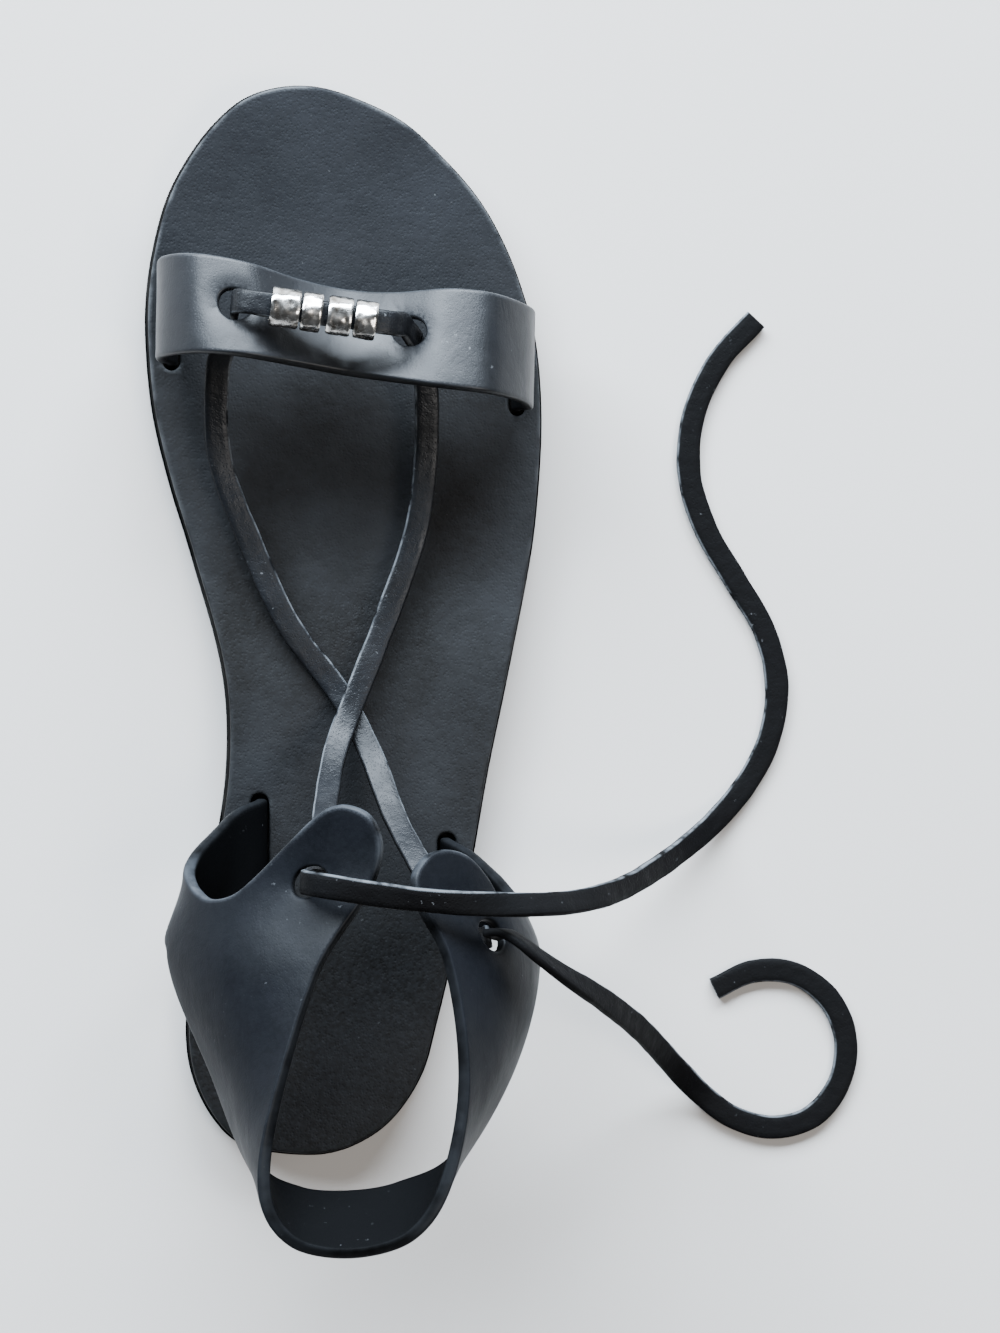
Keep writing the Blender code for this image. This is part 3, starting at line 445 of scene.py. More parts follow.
class Look:
    """A material under construction: a Principled shader with helpers for the textures that drive it."""

    def __init__(self, name, colour, roughness, metallic=0.0, **sockets):
        self.material = bpy.data.materials.new(name)
        self.material.use_nodes = True
        self.tree = self.material.node_tree
        self.shader = self.tree.nodes["Principled BSDF"]
        self.shader.inputs["Base Color"].default_value = (*colour, 1.0)
        self.shader.inputs["Roughness"].default_value = roughness
        self.shader.inputs["Metallic"].default_value = metallic
        for socket, value in sockets.items():
            self.shader.inputs[socket.replace("_", " ")].default_value = value
        self.where = self.tree.nodes.new("ShaderNodeTexCoord").outputs["Object"]

    def set(self, socket, value):
        if isinstance(value, bpy.types.NodeSocket):
            self.tree.links.new(value, socket)
        elif isinstance(value, tuple):
            socket.default_value = (*value, 1.0)
        else:
            socket.default_value = value

    def scaled(self, factors):
        """The surface's place with each axis scaled, for marks that run one way."""
        mapping = self.tree.nodes.new("ShaderNodeMapping")
        mapping.inputs["Scale"].default_value = factors
        self.set(mapping.inputs["Vector"], self.where)
        return mapping.outputs["Vector"]

    def spread(self, value, low, high, start=0.0, end=1.0):
        """value stretched so that low to high becomes start to end."""
        span = self.tree.nodes.new("ShaderNodeMapRange")
        for socket, number in (("From Min", low), ("From Max", high), ("To Min", start), ("To Max", end)):
            span.inputs[socket].default_value = number
        self.set(span.inputs["Value"], value)
        return span.outputs["Result"]

    def cloud(self, scale, low=0.35, high=0.65, detail=4.0, rough=0.55, distortion=0.0, where=None):
        texture = self.tree.nodes.new("ShaderNodeTexNoise")
        texture.inputs["Scale"].default_value = scale
        texture.inputs["Detail"].default_value = detail
        texture.inputs["Roughness"].default_value = rough
        texture.inputs["Distortion"].default_value = distortion
        self.set(texture.inputs["Vector"], where or self.where)
        return self.spread(texture.outputs["Fac"], low, high)

    def cells(self, scale, low, high, feature="F1"):
        texture = self.tree.nodes.new("ShaderNodeTexVoronoi")
        texture.feature = feature
        texture.inputs["Scale"].default_value = scale
        self.set(texture.inputs["Vector"], self.where)
        return self.spread(texture.outputs["Distance"], low, high)

    def mark(self, name):
        attribute = self.tree.nodes.new("ShaderNodeAttribute")
        attribute.attribute_name = name
        return attribute.outputs["Fac"]

    def math(self, operation, a, b):
        made = self.tree.nodes.new("ShaderNodeMath")
        made.operation = operation
        self.set(made.inputs[0], a)
        self.set(made.inputs[1], b)
        return made.outputs["Value"]

    def mix(self, share, a, b):
        made = self.tree.nodes.new("ShaderNodeMix")
        made.data_type = "RGBA"
        self.set(made.inputs[0], share)
        self.set(made.inputs[6], a)
        self.set(made.inputs[7], b)
        return made.outputs[2]

    def colour(self, value):
        self.set(self.shader.inputs["Base Color"], value)

    def roughness(self, value):
        self.set(self.shader.inputs["Roughness"], value)

    def bump(self, layers):
        """Bumps from (height, depth in metres) layers, finest last."""
        normal = None
        for height, depth in layers:
            made = self.tree.nodes.new("ShaderNodeBump")
            made.inputs["Strength"].default_value = 1.0
            made.inputs["Distance"].default_value = depth
            self.set(made.inputs["Height"], height)
            if normal:
                self.set(made.inputs["Normal"], normal)
            normal = made.outputs["Normal"]
        self.set(self.shader.inputs["Normal"], normal)


def strap_look(name, shine):
    """Satin blue-black strap leather: fine grain, soft mottling, dust, grey cut edges that are partly pale burnish
    and partly painted highlight, and edge walls darkened as painted shade.
    """
    look = Look(name, (0.016, 0.019, 0.027), 0.42)
    look.set(look.shader.inputs["Specular IOR Level"], look.spread(look.mark("flesh"), 0.0, 1.0, shine, shine / 4))
    broad = look.cloud(38, 0.36, 0.66, detail=5)
    fine = look.cloud(900, 0.30, 0.70, detail=3)
    flesh = look.mark("flesh")
    edge = look.mark("edge")
    face = look.mix(broad, (0.0018, 0.0021, 0.0028), (0.0038, 0.0043, 0.0056))
    face = look.mix(look.math("MULTIPLY", fine, 0.30), face, (0.0060, 0.0068, 0.0084))
    face = look.mix(flesh, face, (0.0016, 0.0017, 0.0019))
    # The cut edges painted pale grey, partly pale burnish and partly painted highlight.
    edge_tone_and_highlight = look.math("MULTIPLY", edge, look.cloud(160, 0.34, 0.62, detail=5))
    # The cut edges' walls darkened as painted shade.
    face = look.mix(look.math("MULTIPLY", look.mark("wall"), 0.8), face, (0.0020, 0.0021, 0.0023))
    face = look.mix(look.math("MULTIPLY", edge_tone_and_highlight, 0.8), face, (0.040, 0.044, 0.050))
    flecks = look.math("MULTIPLY", look.cloud(700, 0.705, 0.76, detail=2), look.cloud(70, 0.50, 0.66))
    look.colour(look.mix(look.math("MULTIPLY", flecks, 0.5), face, (0.09, 0.095, 0.10)))
    look.roughness(look.spread(look.math("ADD", look.cloud(55, 0.3, 0.7), flesh), 0.0, 1.6, 0.37, 0.60))
    pores = look.cells(1500, 0.05, 0.45)
    creases = look.cloud(120, 0.44, 0.56, detail=6, distortion=1.2, where=look.scaled((1.0, 0.45, 1.0)))
    look.bump(((look.cloud(90, 0.3, 0.7, detail=2), 0.00008), (creases, 0.00002), (pores, 0.000012),
               (fine, 0.000008)))
    return look.material


def lace_look():
    """Narrow lace leather: dark slate face, black flesh side and one edge painted pale as a highlight."""
    look = Look("lace_leather_fine", (0.018, 0.020, 0.026), 0.45)
    look.set(look.shader.inputs["Specular IOR Level"], look.spread(look.mark("flesh"), 0.0, 1.0, 0.17, 0.05))
    face = look.mix(look.cloud(70, 0.36, 0.66, detail=5), (0.0014, 0.0016, 0.0022), (0.0034, 0.0040, 0.0052))
    face = look.mix(look.mark("flesh"), face, (0.0014, 0.0014, 0.0016))
    # The lace's edge mark paints one edge pale, as a highlight.
    pale = look.math("MULTIPLY", look.mark("edge"), look.cloud(240, 0.36, 0.56, detail=5))
    face = look.mix(look.math("MULTIPLY", pale, 0.85), face, (0.085, 0.092, 0.100))
    flecks = look.math("MULTIPLY", look.cloud(800, 0.70, 0.75, detail=2), look.cloud(90, 0.50, 0.66))
    look.colour(look.mix(look.math("MULTIPLY", flecks, 0.6), face, (0.10, 0.105, 0.11)))
    look.roughness(look.spread(look.math("ADD", look.cloud(110, 0.3, 0.7), look.mark("flesh")), 0, 1.6, 0.36, 0.66))
    look.bump(((look.cloud(260, 0.3, 0.7, detail=4), 0.00012), (look.cells(1700, 0.05, 0.45), 0.00004)))
    return look.material


def footbed_look():
    """Matte charcoal footbed: mottled grain, a lighter bluish toe as painted sheen, a brown-black heel as painted
    shade inside the heel piece, and a pale, rubbed rim, paler towards the toe.
    """
    look = Look("footbed_leather_fine", (0.03, 0.029, 0.031), 0.6, Specular_IOR_Level=0.09)
    split = look.tree.nodes.new("ShaderNodeSeparateXYZ")
    look.set(split.inputs["Vector"], look.where)
    # Colour zones along the footbed, heel to waist to toe: the heel's darker brown-black is painted shade inside the
    # heel piece, and the toe's lighter blue is painted sheen.
    forward = look.spread(split.outputs["Y"], 0.00, 0.05)
    wear_and_toe_sheen = look.spread(split.outputs["Y"], 0.135, 0.180)
    heel = look.mix(look.cloud(34, 0.34, 0.68, detail=6), (0.0010, 0.0009, 0.0008), (0.0032, 0.0029, 0.0027))
    waist = look.mix(look.cloud(26, 0.38, 0.62, detail=6), (0.0030, 0.0028, 0.0027), (0.0100, 0.0104, 0.0113))
    toe = look.mix(look.cloud(30, 0.34, 0.68, detail=6), (0.0044, 0.0049, 0.0059), (0.0090, 0.0099, 0.0117))
    face = look.mix(wear_and_toe_sheen, look.mix(forward, heel, waist), toe)
    speck = look.cloud(1100, 0.35, 0.68, detail=3)
    face = look.mix(look.math("MULTIPLY", speck, 0.26), face, (0.012, 0.013, 0.0145))
    edge = look.mark("edge")
    face = look.mix(look.math("MULTIPLY", look.mark("flesh"), 1.0), face, (0.0026, 0.0024, 0.0024))
    rim = look.math("MULTIPLY", edge, look.cloud(130, 0.42, 0.62, detail=5))
    rim = look.math("MULTIPLY", rim, look.spread(split.outputs["Y"], 0.08, 0.19, 0.15, 0.8))
    face = look.mix(rim, face, (0.070, 0.074, 0.078))
    nicks = look.math("MULTIPLY", look.cloud(620, 0.715, 0.77, detail=3), look.cloud(60, 0.48, 0.66))
    look.colour(look.mix(look.math("MULTIPLY", nicks, 0.5), face, (0.070, 0.072, 0.074)))
    look.roughness(look.spread(look.cloud(45, 0.3, 0.7), 0.0, 1.0, 0.50, 0.68))
    look.bump(((look.cloud(60, 0.3, 0.7, detail=3), 0.00015), (look.cloud(420, 0.3, 0.7, detail=5), 0.00006),
               (look.cells(1300, 0.05, 0.5), 0.00005)))
    return look.material


def outsole_look():
    """Brown-black rubber with a dusty ribbed edge and fine tread bands underneath."""
    look = Look("outsole_rubber_fine", (0.018, 0.016, 0.015), 0.72, Specular_IOR_Level=0.09)
    face = look.mix(look.cloud(80, 0.34, 0.68, detail=6), (0.0022, 0.0020, 0.0018), (0.0066, 0.0058, 0.0051))
    wear_and_toe_sheen = look.math("MULTIPLY", look.mark("edge"), look.cloud(210, 0.46, 0.64, detail=5))
    look.colour(look.mix(look.math("MULTIPLY", wear_and_toe_sheen, 0.5), face, (0.036, 0.033, 0.030)))
    bands = look.tree.nodes.new("ShaderNodeTexWave")
    bands.bands_direction = "Y"
    bands.inputs["Scale"].default_value = 105.0
    bands.inputs["Distortion"].default_value = 0.0
    look.set(bands.inputs["Vector"], look.where)
    tread = look.math("MULTIPLY", look.spread(bands.outputs["Fac"], 0.3, 0.7), look.mark("flesh"))
    look.roughness(look.spread(look.cloud(120, 0.3, 0.7), 0.0, 1.0, 0.62, 0.82))
    look.bump(((tread, 0.0005), (look.cloud(900, 0.3, 0.7, detail=4), 0.00005)))
    return look.material


def bead_look():
    """Hammered polished metal with brown-grey tarnish in its dents."""
    look = Look("bead_metal_fine", (0.62, 0.60, 0.57), 0.20, 1.0)
    tarnish = look.cloud(420, 0.46, 0.70, detail=5, distortion=0.6)
    low = look.math("MAXIMUM", look.mark("dent"), tarnish)
    look.colour(look.mix(low, (0.72, 0.70, 0.67), (0.205, 0.180, 0.150)))
    look.roughness(look.spread(look.cloud(600, 0.3, 0.7), 0.0, 1.0, 0.13, 0.32))
    scratches = look.cloud(1500, 0.4, 0.6, detail=3, where=look.scaled((0.25, 1.0, 1.0)))
    look.bump(((look.cells(620, 0.1, 0.6, "SMOOTH_F1"), 0.00006), (scratches, 0.00001)))
    return look.material


def floor_look():
    look = Look("floor_paper", (0.36, 0.36, 0.36), 0.9, Specular_IOR_Level=0.0)
    look.colour(look.mix(look.cloud(3, 0.3, 0.7), (0.400, 0.380, 0.362), (0.408, 0.388, 0.370)))
    return look.material


def add_mesh(name, points, faces, material, marks=None):
    """A smooth-shaded object with float marks on its points."""
    mesh = bpy.data.meshes.new(name)
    mesh.from_pydata([tuple(p) for p in points], [], [tuple(f) for f in faces])
    mesh.validate()
    for mark, values in (marks or {}).items():
        attribute = mesh.attributes.new(mark, "FLOAT", "POINT")
        attribute.data.foreach_set("value", np.asarray(values, float).ravel())
    mesh.materials.append(material)
    mesh.shade_smooth()
    mesh.set_sharp_from_angle(angle=SHARP_ANGLE)
    item = bpy.data.objects.new(name, mesh)
    bpy.context.collection.objects.link(item)
    return item


def dress(item, body, slot, *nodes):
    """item rides on body and stands for the nodes. slot is not used."""
    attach(item, body)
    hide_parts(*nodes)
    return item


def even_loop(points, spacing):
    """A closed loop with its points about spacing apart."""
    closed = np.vstack([points, points[:1]])
    runs = np.concatenate([[0.0], np.cumsum(np.linalg.norm(np.diff(closed, axis=0), axis=1))])
    count = max(8, round(runs[-1] / spacing))
    at = np.linspace(0.0, runs[-1], count, endpoint=False)
    return np.column_stack([np.interp(at, runs, closed[:, k]) for k in range(closed.shape[1])])


def loop_normals(loop):
    """Unit vectors to the left of an anticlockwise loop's way, which is inwards."""
    ahead = np.roll(loop, -1, axis=0) - np.roll(loop, 1, axis=0)
    ahead /= np.linalg.norm(ahead, axis=1)[:, None]
    return np.column_stack([-ahead[:, 1], ahead[:, 0]])


def lies_inside(points, loop):
    x, y = points[:, :1], points[:, 1:2]
    a, b = loop, np.roll(loop, -1, axis=0)
    crosses = (a[:, 1] > y) != (b[:, 1] > y)
    rise = np.where(b[:, 1] == a[:, 1], 1.0, b[:, 1] - a[:, 1])
    at = a[:, 0] + (y - a[:, 1]) / rise * (b[:, 0] - a[:, 0])
    return (crosses & (x < at)).sum(1) % 2 == 1


def edge_distance(points, loops):
    """How far each point is from the nearest of the loops."""
    nearest = np.full(len(points), np.inf)
    for loop in loops:
        along = np.roll(loop, -1, axis=0) - loop
        for start in range(0, len(points), 2000):
            part = points[start : start + 2000, None]
            share = np.clip(((part - loop) * along).sum(2) / (along**2).sum(1), 0.0, 1.0)
            gap = np.linalg.norm(part - loop - share[..., None] * along, axis=2).min(1)
            nearest[start : start + 2000] = np.minimum(nearest[start : start + 2000], gap)
    return nearest


def flat_sheet(outline, holes, cell, rounding):
    """Points, triangles, edge distances and border loops of a flat cut, with rows of points along its edges."""
    loops = [even_loop(np.asarray(outline), EDGE_STEP)] + [even_loop(np.asarray(h), EDGE_STEP) for h in holes]
    rows, borders, count = [], [], 0
    for loop in loops:
        rows.append(loop)
        borders.append(np.arange(count, count + len(loop)))
        count += len(loop)
    for share in (0.12, 0.35, 0.68, 1.0, 1.5):
        for number, loop in enumerate(loops):
            way = 1.0 if number == 0 else -1.0
            ring = loop[:: 1 if share < 1 else 2] + way * share * rounding * loop_normals(loop)[:: 1 if share < 1 else 2]
            rows.append(ring[edge_distance(ring, loops) > 0.97 * share * rounding])
    low, high = loops[0].min(axis=0), loops[0].max(axis=0)
    axes = [np.arange(low[k] + cell / 2, high[k], cell) for k in (0, 1)]
    grid = np.stack(np.meshgrid(*axes, indexing="ij"), axis=-1).reshape(-1, 2)
    grid = grid[lies_inside(grid, loops[0])]
    rows.append(grid[edge_distance(grid, loops) > 1.5 * rounding + cell * 0.45])
    flat = np.vstack(rows)
    edges = [(int(a), int(b)) for border in borders for a, b in zip(border, np.roll(border, -1))]
    result = delaunay_2d_cdt([Vector(p) for p in flat], edges, [], 0, 1e-9)
    flat = np.array([tuple(p) for p in result[0]])
    faces = np.array([f for f in result[2] if len(f) == 3])
    middle = flat[faces].mean(axis=1)
    keep = lies_inside(middle, loops[0])
    for loop in loops[1:]:
        keep &= ~lies_inside(middle, loop)
    faces = faces[keep]
    a, b, c = (flat[faces[:, k]] for k in range(3))
    turn = (b[:, 0] - a[:, 0]) * (c[:, 1] - a[:, 1]) - (b[:, 1] - a[:, 1]) * (c[:, 0] - a[:, 0])
    faces = np.where(turn[:, None] > 0, faces, faces[:, ::-1])
    return flat, faces, edge_distance(flat, loops), borders


def leather(name, outline, holes, cell, thick, rounding, place, material, relief=None, pale_edge_and_highlight=None):
    """A piece of leather cut flat, given rounded edges and bent into place.

    place takes flat points and heights off the leather's middle. relief is how far the face is raised, and the last
    argument how pale the cut edge is painted near each point, partly pale burnish and partly painted highlight.
    """
    flat, faces, distance, borders = flat_sheet(outline, holes, cell, rounding)
    inset = np.minimum(distance, rounding)
    height = thick / 2 - rounding + np.sqrt(np.maximum(0.0, rounding**2 - (rounding - inset) ** 2))
    raised = height + (relief(flat, distance) if relief else 0.0)
    points = np.vstack([place(flat, raised), place(flat, -height)])
    count = len(flat)
    triangles = np.vstack([faces, faces[:, ::-1] + count]).tolist()
    for number, border in enumerate(borders):
        for i, j in zip(border, np.roll(border, -1)):
            wall = (i + count, j + count, j, i)
            triangles.append(tuple(int(k) for k in (wall if number == 0 else wall[::-1])))
    # The wall mark darkens the cut edges' walls in the looks, as painted shade; the edge mark paints the cut edges
    # pale, partly pale burnish and partly painted highlight.
    wall = np.tile(np.exp(-((distance / (rounding * 0.30)) ** 2)), 2)
    edge = np.tile(np.exp(-((distance / (rounding * 0.75)) ** 2)) * (pale_edge_and_highlight(flat) if pale_edge_and_highlight else 1.0), 2)
    flesh = np.concatenate([np.zeros(count), np.ones(count)])
    return add_mesh(name, points, triangles, material, {"edge": edge, "wall": wall, "flesh": flesh})


def waves(points, size, depth, seed):
    """Gentle unevenness of that size over 2-D or 3-D points."""
    spot = Vector((seed * 3.7, seed * 1.3, seed * 2.1))
    return np.array([noise.noise(Vector((*p, 0.0)[:3]) / size + spot) for p in points]) * depth


def bent_place(alongs, heights, grid):
    """place for leather(): the surface through the grid, with heights off it along its normal."""

    def surface(a, b):
        return np.einsum("mi,mj,ijk->mk", weights(alongs, a), weights(heights, b), grid)

    def place(flat, height):
        a, b = flat[:, 0], flat[:, 1]
        ahead = surface(a + SLOPE_STEP, b) - surface(a - SLOPE_STEP, b)
        upward = surface(a, b + SLOPE_STEP) - surface(a, b - SLOPE_STEP)
        normal = np.cross(ahead, upward)
        normal /= np.linalg.norm(normal, axis=1)[:, None]
        return surface(a, b) + normal * height[:, None]

    return place


def oval(along, up, half_along, half_up):
    angles = np.linspace(0.0, 2 * math.pi, 48, endpoint=False)
    return np.column_stack([along + half_along * np.cos(angles), up + half_up * np.sin(angles)])


# Creases that run out from the toe strap's two lace holes: hole, angle in degrees, length and depth in metres
STRAP_CREASES = (
    (0, 250, 0.0050, 0.00030),
    (0, 285, 0.0036, 0.00022),
    (0, 205, 0.0030, 0.00018),
    (0, 60, 0.0030, 0.00020),
    (1, 118, 0.0062, 0.00042),
    (1, 100, 0.0050, 0.00030),
    (1, 140, 0.0048, 0.00030),
    (1, 255, 0.0050, 0.00034),
    (1, 285, 0.0036, 0.00022),
)


def strap_relief(flat, distance):
    """Creases round the lace holes, a drawn-in rim, and the leather's own unevenness."""
    height = waves(flat, 0.011, 0.00010, 1.0) * np.clip(distance / 0.003, 0.0, 1.0)
    for number, degrees, length, depth in STRAP_CREASES:
        along, across = TOE_STRAP_HOLES[number]
        out = flat - (along, (1 - across) * STRAP_WIDTH)
        reach = np.linalg.norm(out, axis=1) - LACE_HOLE_RADIUS
        turn = np.arctan2(out[:, 1], out[:, 0]) - math.radians(degrees)
        aside = np.linalg.norm(out, axis=1) * np.abs(np.sin(turn / 2)) * 2
        height -= depth * np.exp(-((aside / 0.00055) ** 2)) * np.clip(1 - reach / length, 0.0, 1.0)
    for along, across in TOE_STRAP_HOLES:
        out = np.linalg.norm(flat - (along, (1 - across) * STRAP_WIDTH), axis=1) - LACE_HOLE_RADIUS
        height -= 0.00045 * np.exp(-((out / 0.0022) ** 2))
    return height


def make_toe_strap(material):
    inner_x, inner_y, length = slot_place("toe_inner")
    outer_x, outer_y, _ = slot_place("toe_outer")
    tongue, bottom, upright = length / 2, OUTSOLE_THICK + GAP * 2, FOOTBED_THICK + STRAP_UPRIGHT
    rows = []
    for along, z in ((0.0, bottom), (upright, FOOTBED_TOP + STRAP_UPRIGHT)):
        rows.append((along, (inner_x, inner_y + tongue, z), (inner_x, inner_y - tongue, z)))
    for along, front, rear in TOE_STRAP_ROWS:
        rows.append((along, in_place(front), in_place(rear)))
    for along, z in ((TOE_STRAP_END - upright, FOOTBED_TOP + STRAP_UPRIGHT), (TOE_STRAP_END, bottom)):
        rows.append((along, (outer_x, outer_y + tongue, z), (outer_x, outer_y - tongue, z)))
    grid = np.array([row[:0:-1] for row in rows], float)
    place = bent_place([row[0] for row in rows], (0.0, STRAP_WIDTH), grid)
    outline = [(0.0, 0.0), (TOE_STRAP_END, 0.0), (TOE_STRAP_END, STRAP_WIDTH), (0.0, STRAP_WIDTH)]
    holes = []
    for along, across in TOE_STRAP_HOLES:
        holes.append(oval(along, (1 - across) * STRAP_WIDTH, LACE_HOLE_RADIUS, LACE_HOLE_RADIUS))
    item = leather("toe_strap_leather", outline, holes, STRAP_CELL, STRAP_THICK, 0.0007, place, material,
                   strap_relief, strap_edge_highlight)
    dress(item, "sandal", "strap_leather", "toe_strap")


def heel_relief(flat, distance):
    """The heel leather's unevenness, with the tab rims drawn in at the lace holes."""
    height = waves(flat, 0.019, 0.00015, 4.0) * np.clip(distance / 0.004, 0.0, 1.0)
    for along, up, half_up in TAB_HOLES:
        out = np.linalg.norm((flat - (along, up)) / (LACE_HOLE_RADIUS, half_up), axis=1) - 1
        height -= 0.00035 * np.exp(-((out / 0.55) ** 2))
    return height


# Where the heel piece's cut edge gets a painted highlight: place along and up the leather, and how far round it
HEEL_EDGE_HIGHLIGHTS = (
    (0.021, 0.046, 0.013),
    (0.004, 0.081, 0.011),
    (0.226, 0.076, 0.012),
)


def heel_edge_tone_and_highlight(flat):
    """How pale the heel piece's cut edge is painted: a faint pale burnish all round, and a painted highlight at the
    tabs' tips and in the inner notch.
    """
    share = np.full(len(flat), 0.12)
    for along, up, reach in HEEL_EDGE_HIGHLIGHTS:
        out = np.linalg.norm(flat - (along, up), axis=1) / reach
        share = np.maximum(share, np.clip(1.6 - out, 0.0, 1.0))
    return share


def strap_edge_highlight(flat):
    """The toe strap's front edge gets a painted highlight and its rear edge stays dark, as painted shade."""
    return np.where(flat[:, 1] > STRAP_WIDTH * 0.8, 0.75, 0.12)


def make_heel_piece(material):
    bottom = OUTSOLE_THICK + GAP * 2
    grid = []
    for along, slot, *shares in HEEL_ROWS:
        leg, bulge, shoulder, top = (np.array(in_place(share)) for share in shares)
        if slot:
            x, y, _ = slot_place(slot)
            front, rear, way = LEGS[slot]
            y += way * (along - (front + rear) / 2)
            foot = [(x, y, bottom), (x, y, FOOTBED_TOP + STRAP_UPRIGHT)]
        else:
            foot = [2 * leg - bulge] * 2
        grid.append([*foot, leg, bulge, shoulder, top])
    outline = []
    for edge in (HEEL_UPPER_EDGE, *HEEL_LOWER_EDGES):
        outline += smooth_path(edge, EDGE_STEP)[:-1].tolist()
    outline += [HEEL_LOWER_EDGES[-1][-1]]
    outline.reverse()
    holes = [oval(along, up, LACE_HOLE_RADIUS, half_up) for along, up, half_up in TAB_HOLES]
    place = bent_place([row[0] for row in HEEL_ROWS], HEEL_HEIGHTS, np.array(grid))
    item = leather("heel_leather", outline, holes, HEEL_CELL, HEEL_LEATHER_THICK, 0.0009, place, material,
                   heel_relief, heel_edge_tone_and_highlight)
    dress(item, "sandal", "strap_leather", "heel_piece")


def sole_loop(inset, spacing):
    """The sole's outline as an anticlockwise loop, moved inwards by inset."""
    table = np.array(SOLE_OUTLINE)
    turn = np.arccos(1 - 2 * table[:, 0])
    turns = np.linspace(0.0, math.pi, 161)
    across = weights(turn, turns) @ table[:, 1:] * SOLE_WIDTH
    along = (1 - np.cos(turns)) / 2 * SOLE_LENGTH - HEEL_BEHIND_ORIGIN
    inner, outer = (np.column_stack([across[:, side], along]) for side in (0, 1))
    loop = even_loop(np.concatenate([outer, inner[-2:0:-1]]), spacing)
    return loop + inset * loop_normals(loop)


def slot_loop(name, leather_thick):
    """The slot's round-ended outline in the footbed."""
    x, y, length = slot_place(name)
    radius = leather_thick / 2 + SLOT_CLEARANCE
    reach = length / 2 + SLOT_CLEARANCE + radius - math.sqrt(radius**2 - (leather_thick / 2) ** 2)
    outline = []
    for way in (1, -1):
        for turn in range(13):
            angle = math.pi * turn / 12
            across, along = way * radius * math.cos(angle), reach - radius + radius * math.sin(angle)
            outline.append((x + across, y + way * along))
    return np.array(outline)


def sole_place(middle):
    """place for leather(): flat on the sole's rise, middle above its underside."""

    def place(flat, height):
        rise = np.array([sole_rise(y) for y in flat[:, 1]])
        return np.column_stack([flat, rise + middle + height])

    return place


# Where a foot has pressed the footbed: place across and along, half sizes and depth, in metres
FOOTPRINTS = (
    (-0.004, -0.002, 0.019, 0.026, 0.00038),
    (0.004, 0.148, 0.032, 0.026, 0.00032),
    (-0.024, 0.186, 0.011, 0.013, 0.00028),
    (0.012, 0.190, 0.018, 0.008, 0.00018),
)


def footbed_relief(flat, distance):
    """The prints of heel, ball and toes, slots with their rims drawn down, and the leather's own unevenness."""
    height = waves(flat, 0.028, 0.00022, 7.0) * np.clip(distance / 0.004, 0.0, 1.0)
    for x, y, half_x, half_y, depth in FOOTPRINTS:
        out = (((flat - (x, y)) / (half_x, half_y)) ** 2).sum(axis=1)
        height -= depth * np.exp(-out)
    for name in SLOTS:
        x, y, length = slot_place(name)
        ends = np.abs(flat - (x, y)) - (0.0, length / 2)
        height -= 0.00030 * np.exp(-((np.linalg.norm(np.maximum(ends, 0.0), axis=1) / 0.0032) ** 2))
    return height


def make_sole(footbed_material, outsole_material):
    slots = []
    for name in SLOTS:
        slots.append(slot_loop(name, STRAP_THICK if name.startswith("toe") else HEEL_LEATHER_THICK))
    item = leather("footbed_leather_layer", sole_loop(FOOTBED_STEP, 0.001), slots, SOLE_CELL, FOOTBED_THICK, 0.0007,
                   sole_place(OUTSOLE_THICK + GAP + FOOTBED_THICK / 2), footbed_material, footbed_relief)
    dress(item, "sandal", "footbed_leather", "footbed")
    flat, faces, distance, borders = flat_sheet(sole_loop(0.0, 0.001), [], 0.004, 0.0005)
    border = borders[0]
    around = np.arange(len(border)) * EDGE_STEP
    inwards = loop_normals(flat[border])
    ribs = 0.5 + 0.5 * np.cos(2 * math.pi * around / RIB_PITCH)
    levels = ((0.0000, 0.00045, 0.0), (0.0003, 0.00010, 1.0), (0.0022, 0.0, 1.0), (0.0041, 0.00010, 1.0),
              (0.0045, 0.00040, 0.0))
    rise = np.array([sole_rise(y) for y in flat[:, 1]])
    count = len(flat)
    points = [np.column_stack([flat, rise]), np.column_stack([flat, rise + OUTSOLE_THICK])]
    points[0][border, :2] += inwards * levels[0][1]
    points[1][border, :2] += inwards * levels[-1][1]
    rings = [border]
    total = 2 * count
    for height, inset, ribbed in levels[1:-1]:
        ring = flat[border] + inwards * (inset + ribbed * RIB_DEPTH * (1 - ribs))[:, None]
        points.append(np.column_stack([ring, rise[border] + height]))
        rings.append(np.arange(total, total + len(border)))
        total += len(border)
    rings.append(border + count)
    polygons = np.vstack([faces[:, ::-1], faces + count]).tolist()
    for below, above in zip(rings, rings[1:]):
        for i in range(len(border)):
            j = (i + 1) % len(border)
            polygons.append((int(below[i]), int(below[j]), int(above[j]), int(above[i])))
    points = np.vstack(points)
    side = np.concatenate([np.zeros(2 * count), np.ones(total - 2 * count)])
    side[border] = side[border + count] = 1.0
    under = np.concatenate([np.ones(count), np.zeros(total - count)])
    item = add_mesh("outsole_layer", points, polygons, outsole_material, {"edge": side, "flesh": under})
    dress(item, "sandal", "outsole_rubber", "outsole")


# The lace's rounded cross-section: shares of its half width and half thickness
LACE_SECTION = (
    (-1.00, -0.35), (-0.93, -0.80), (-0.82, -0.97), (-0.40, -1.00), (0.40, -1.00), (0.82, -0.97), (0.93, -0.80),
    (1.00, -0.35), (1.00, 0.35), (0.93, 0.80), (0.82, 0.97), (0.40, 1.00), (-0.40, 1.00), (-0.82, 0.97),
    (-0.93, 0.80), (-1.00, 0.35),
)


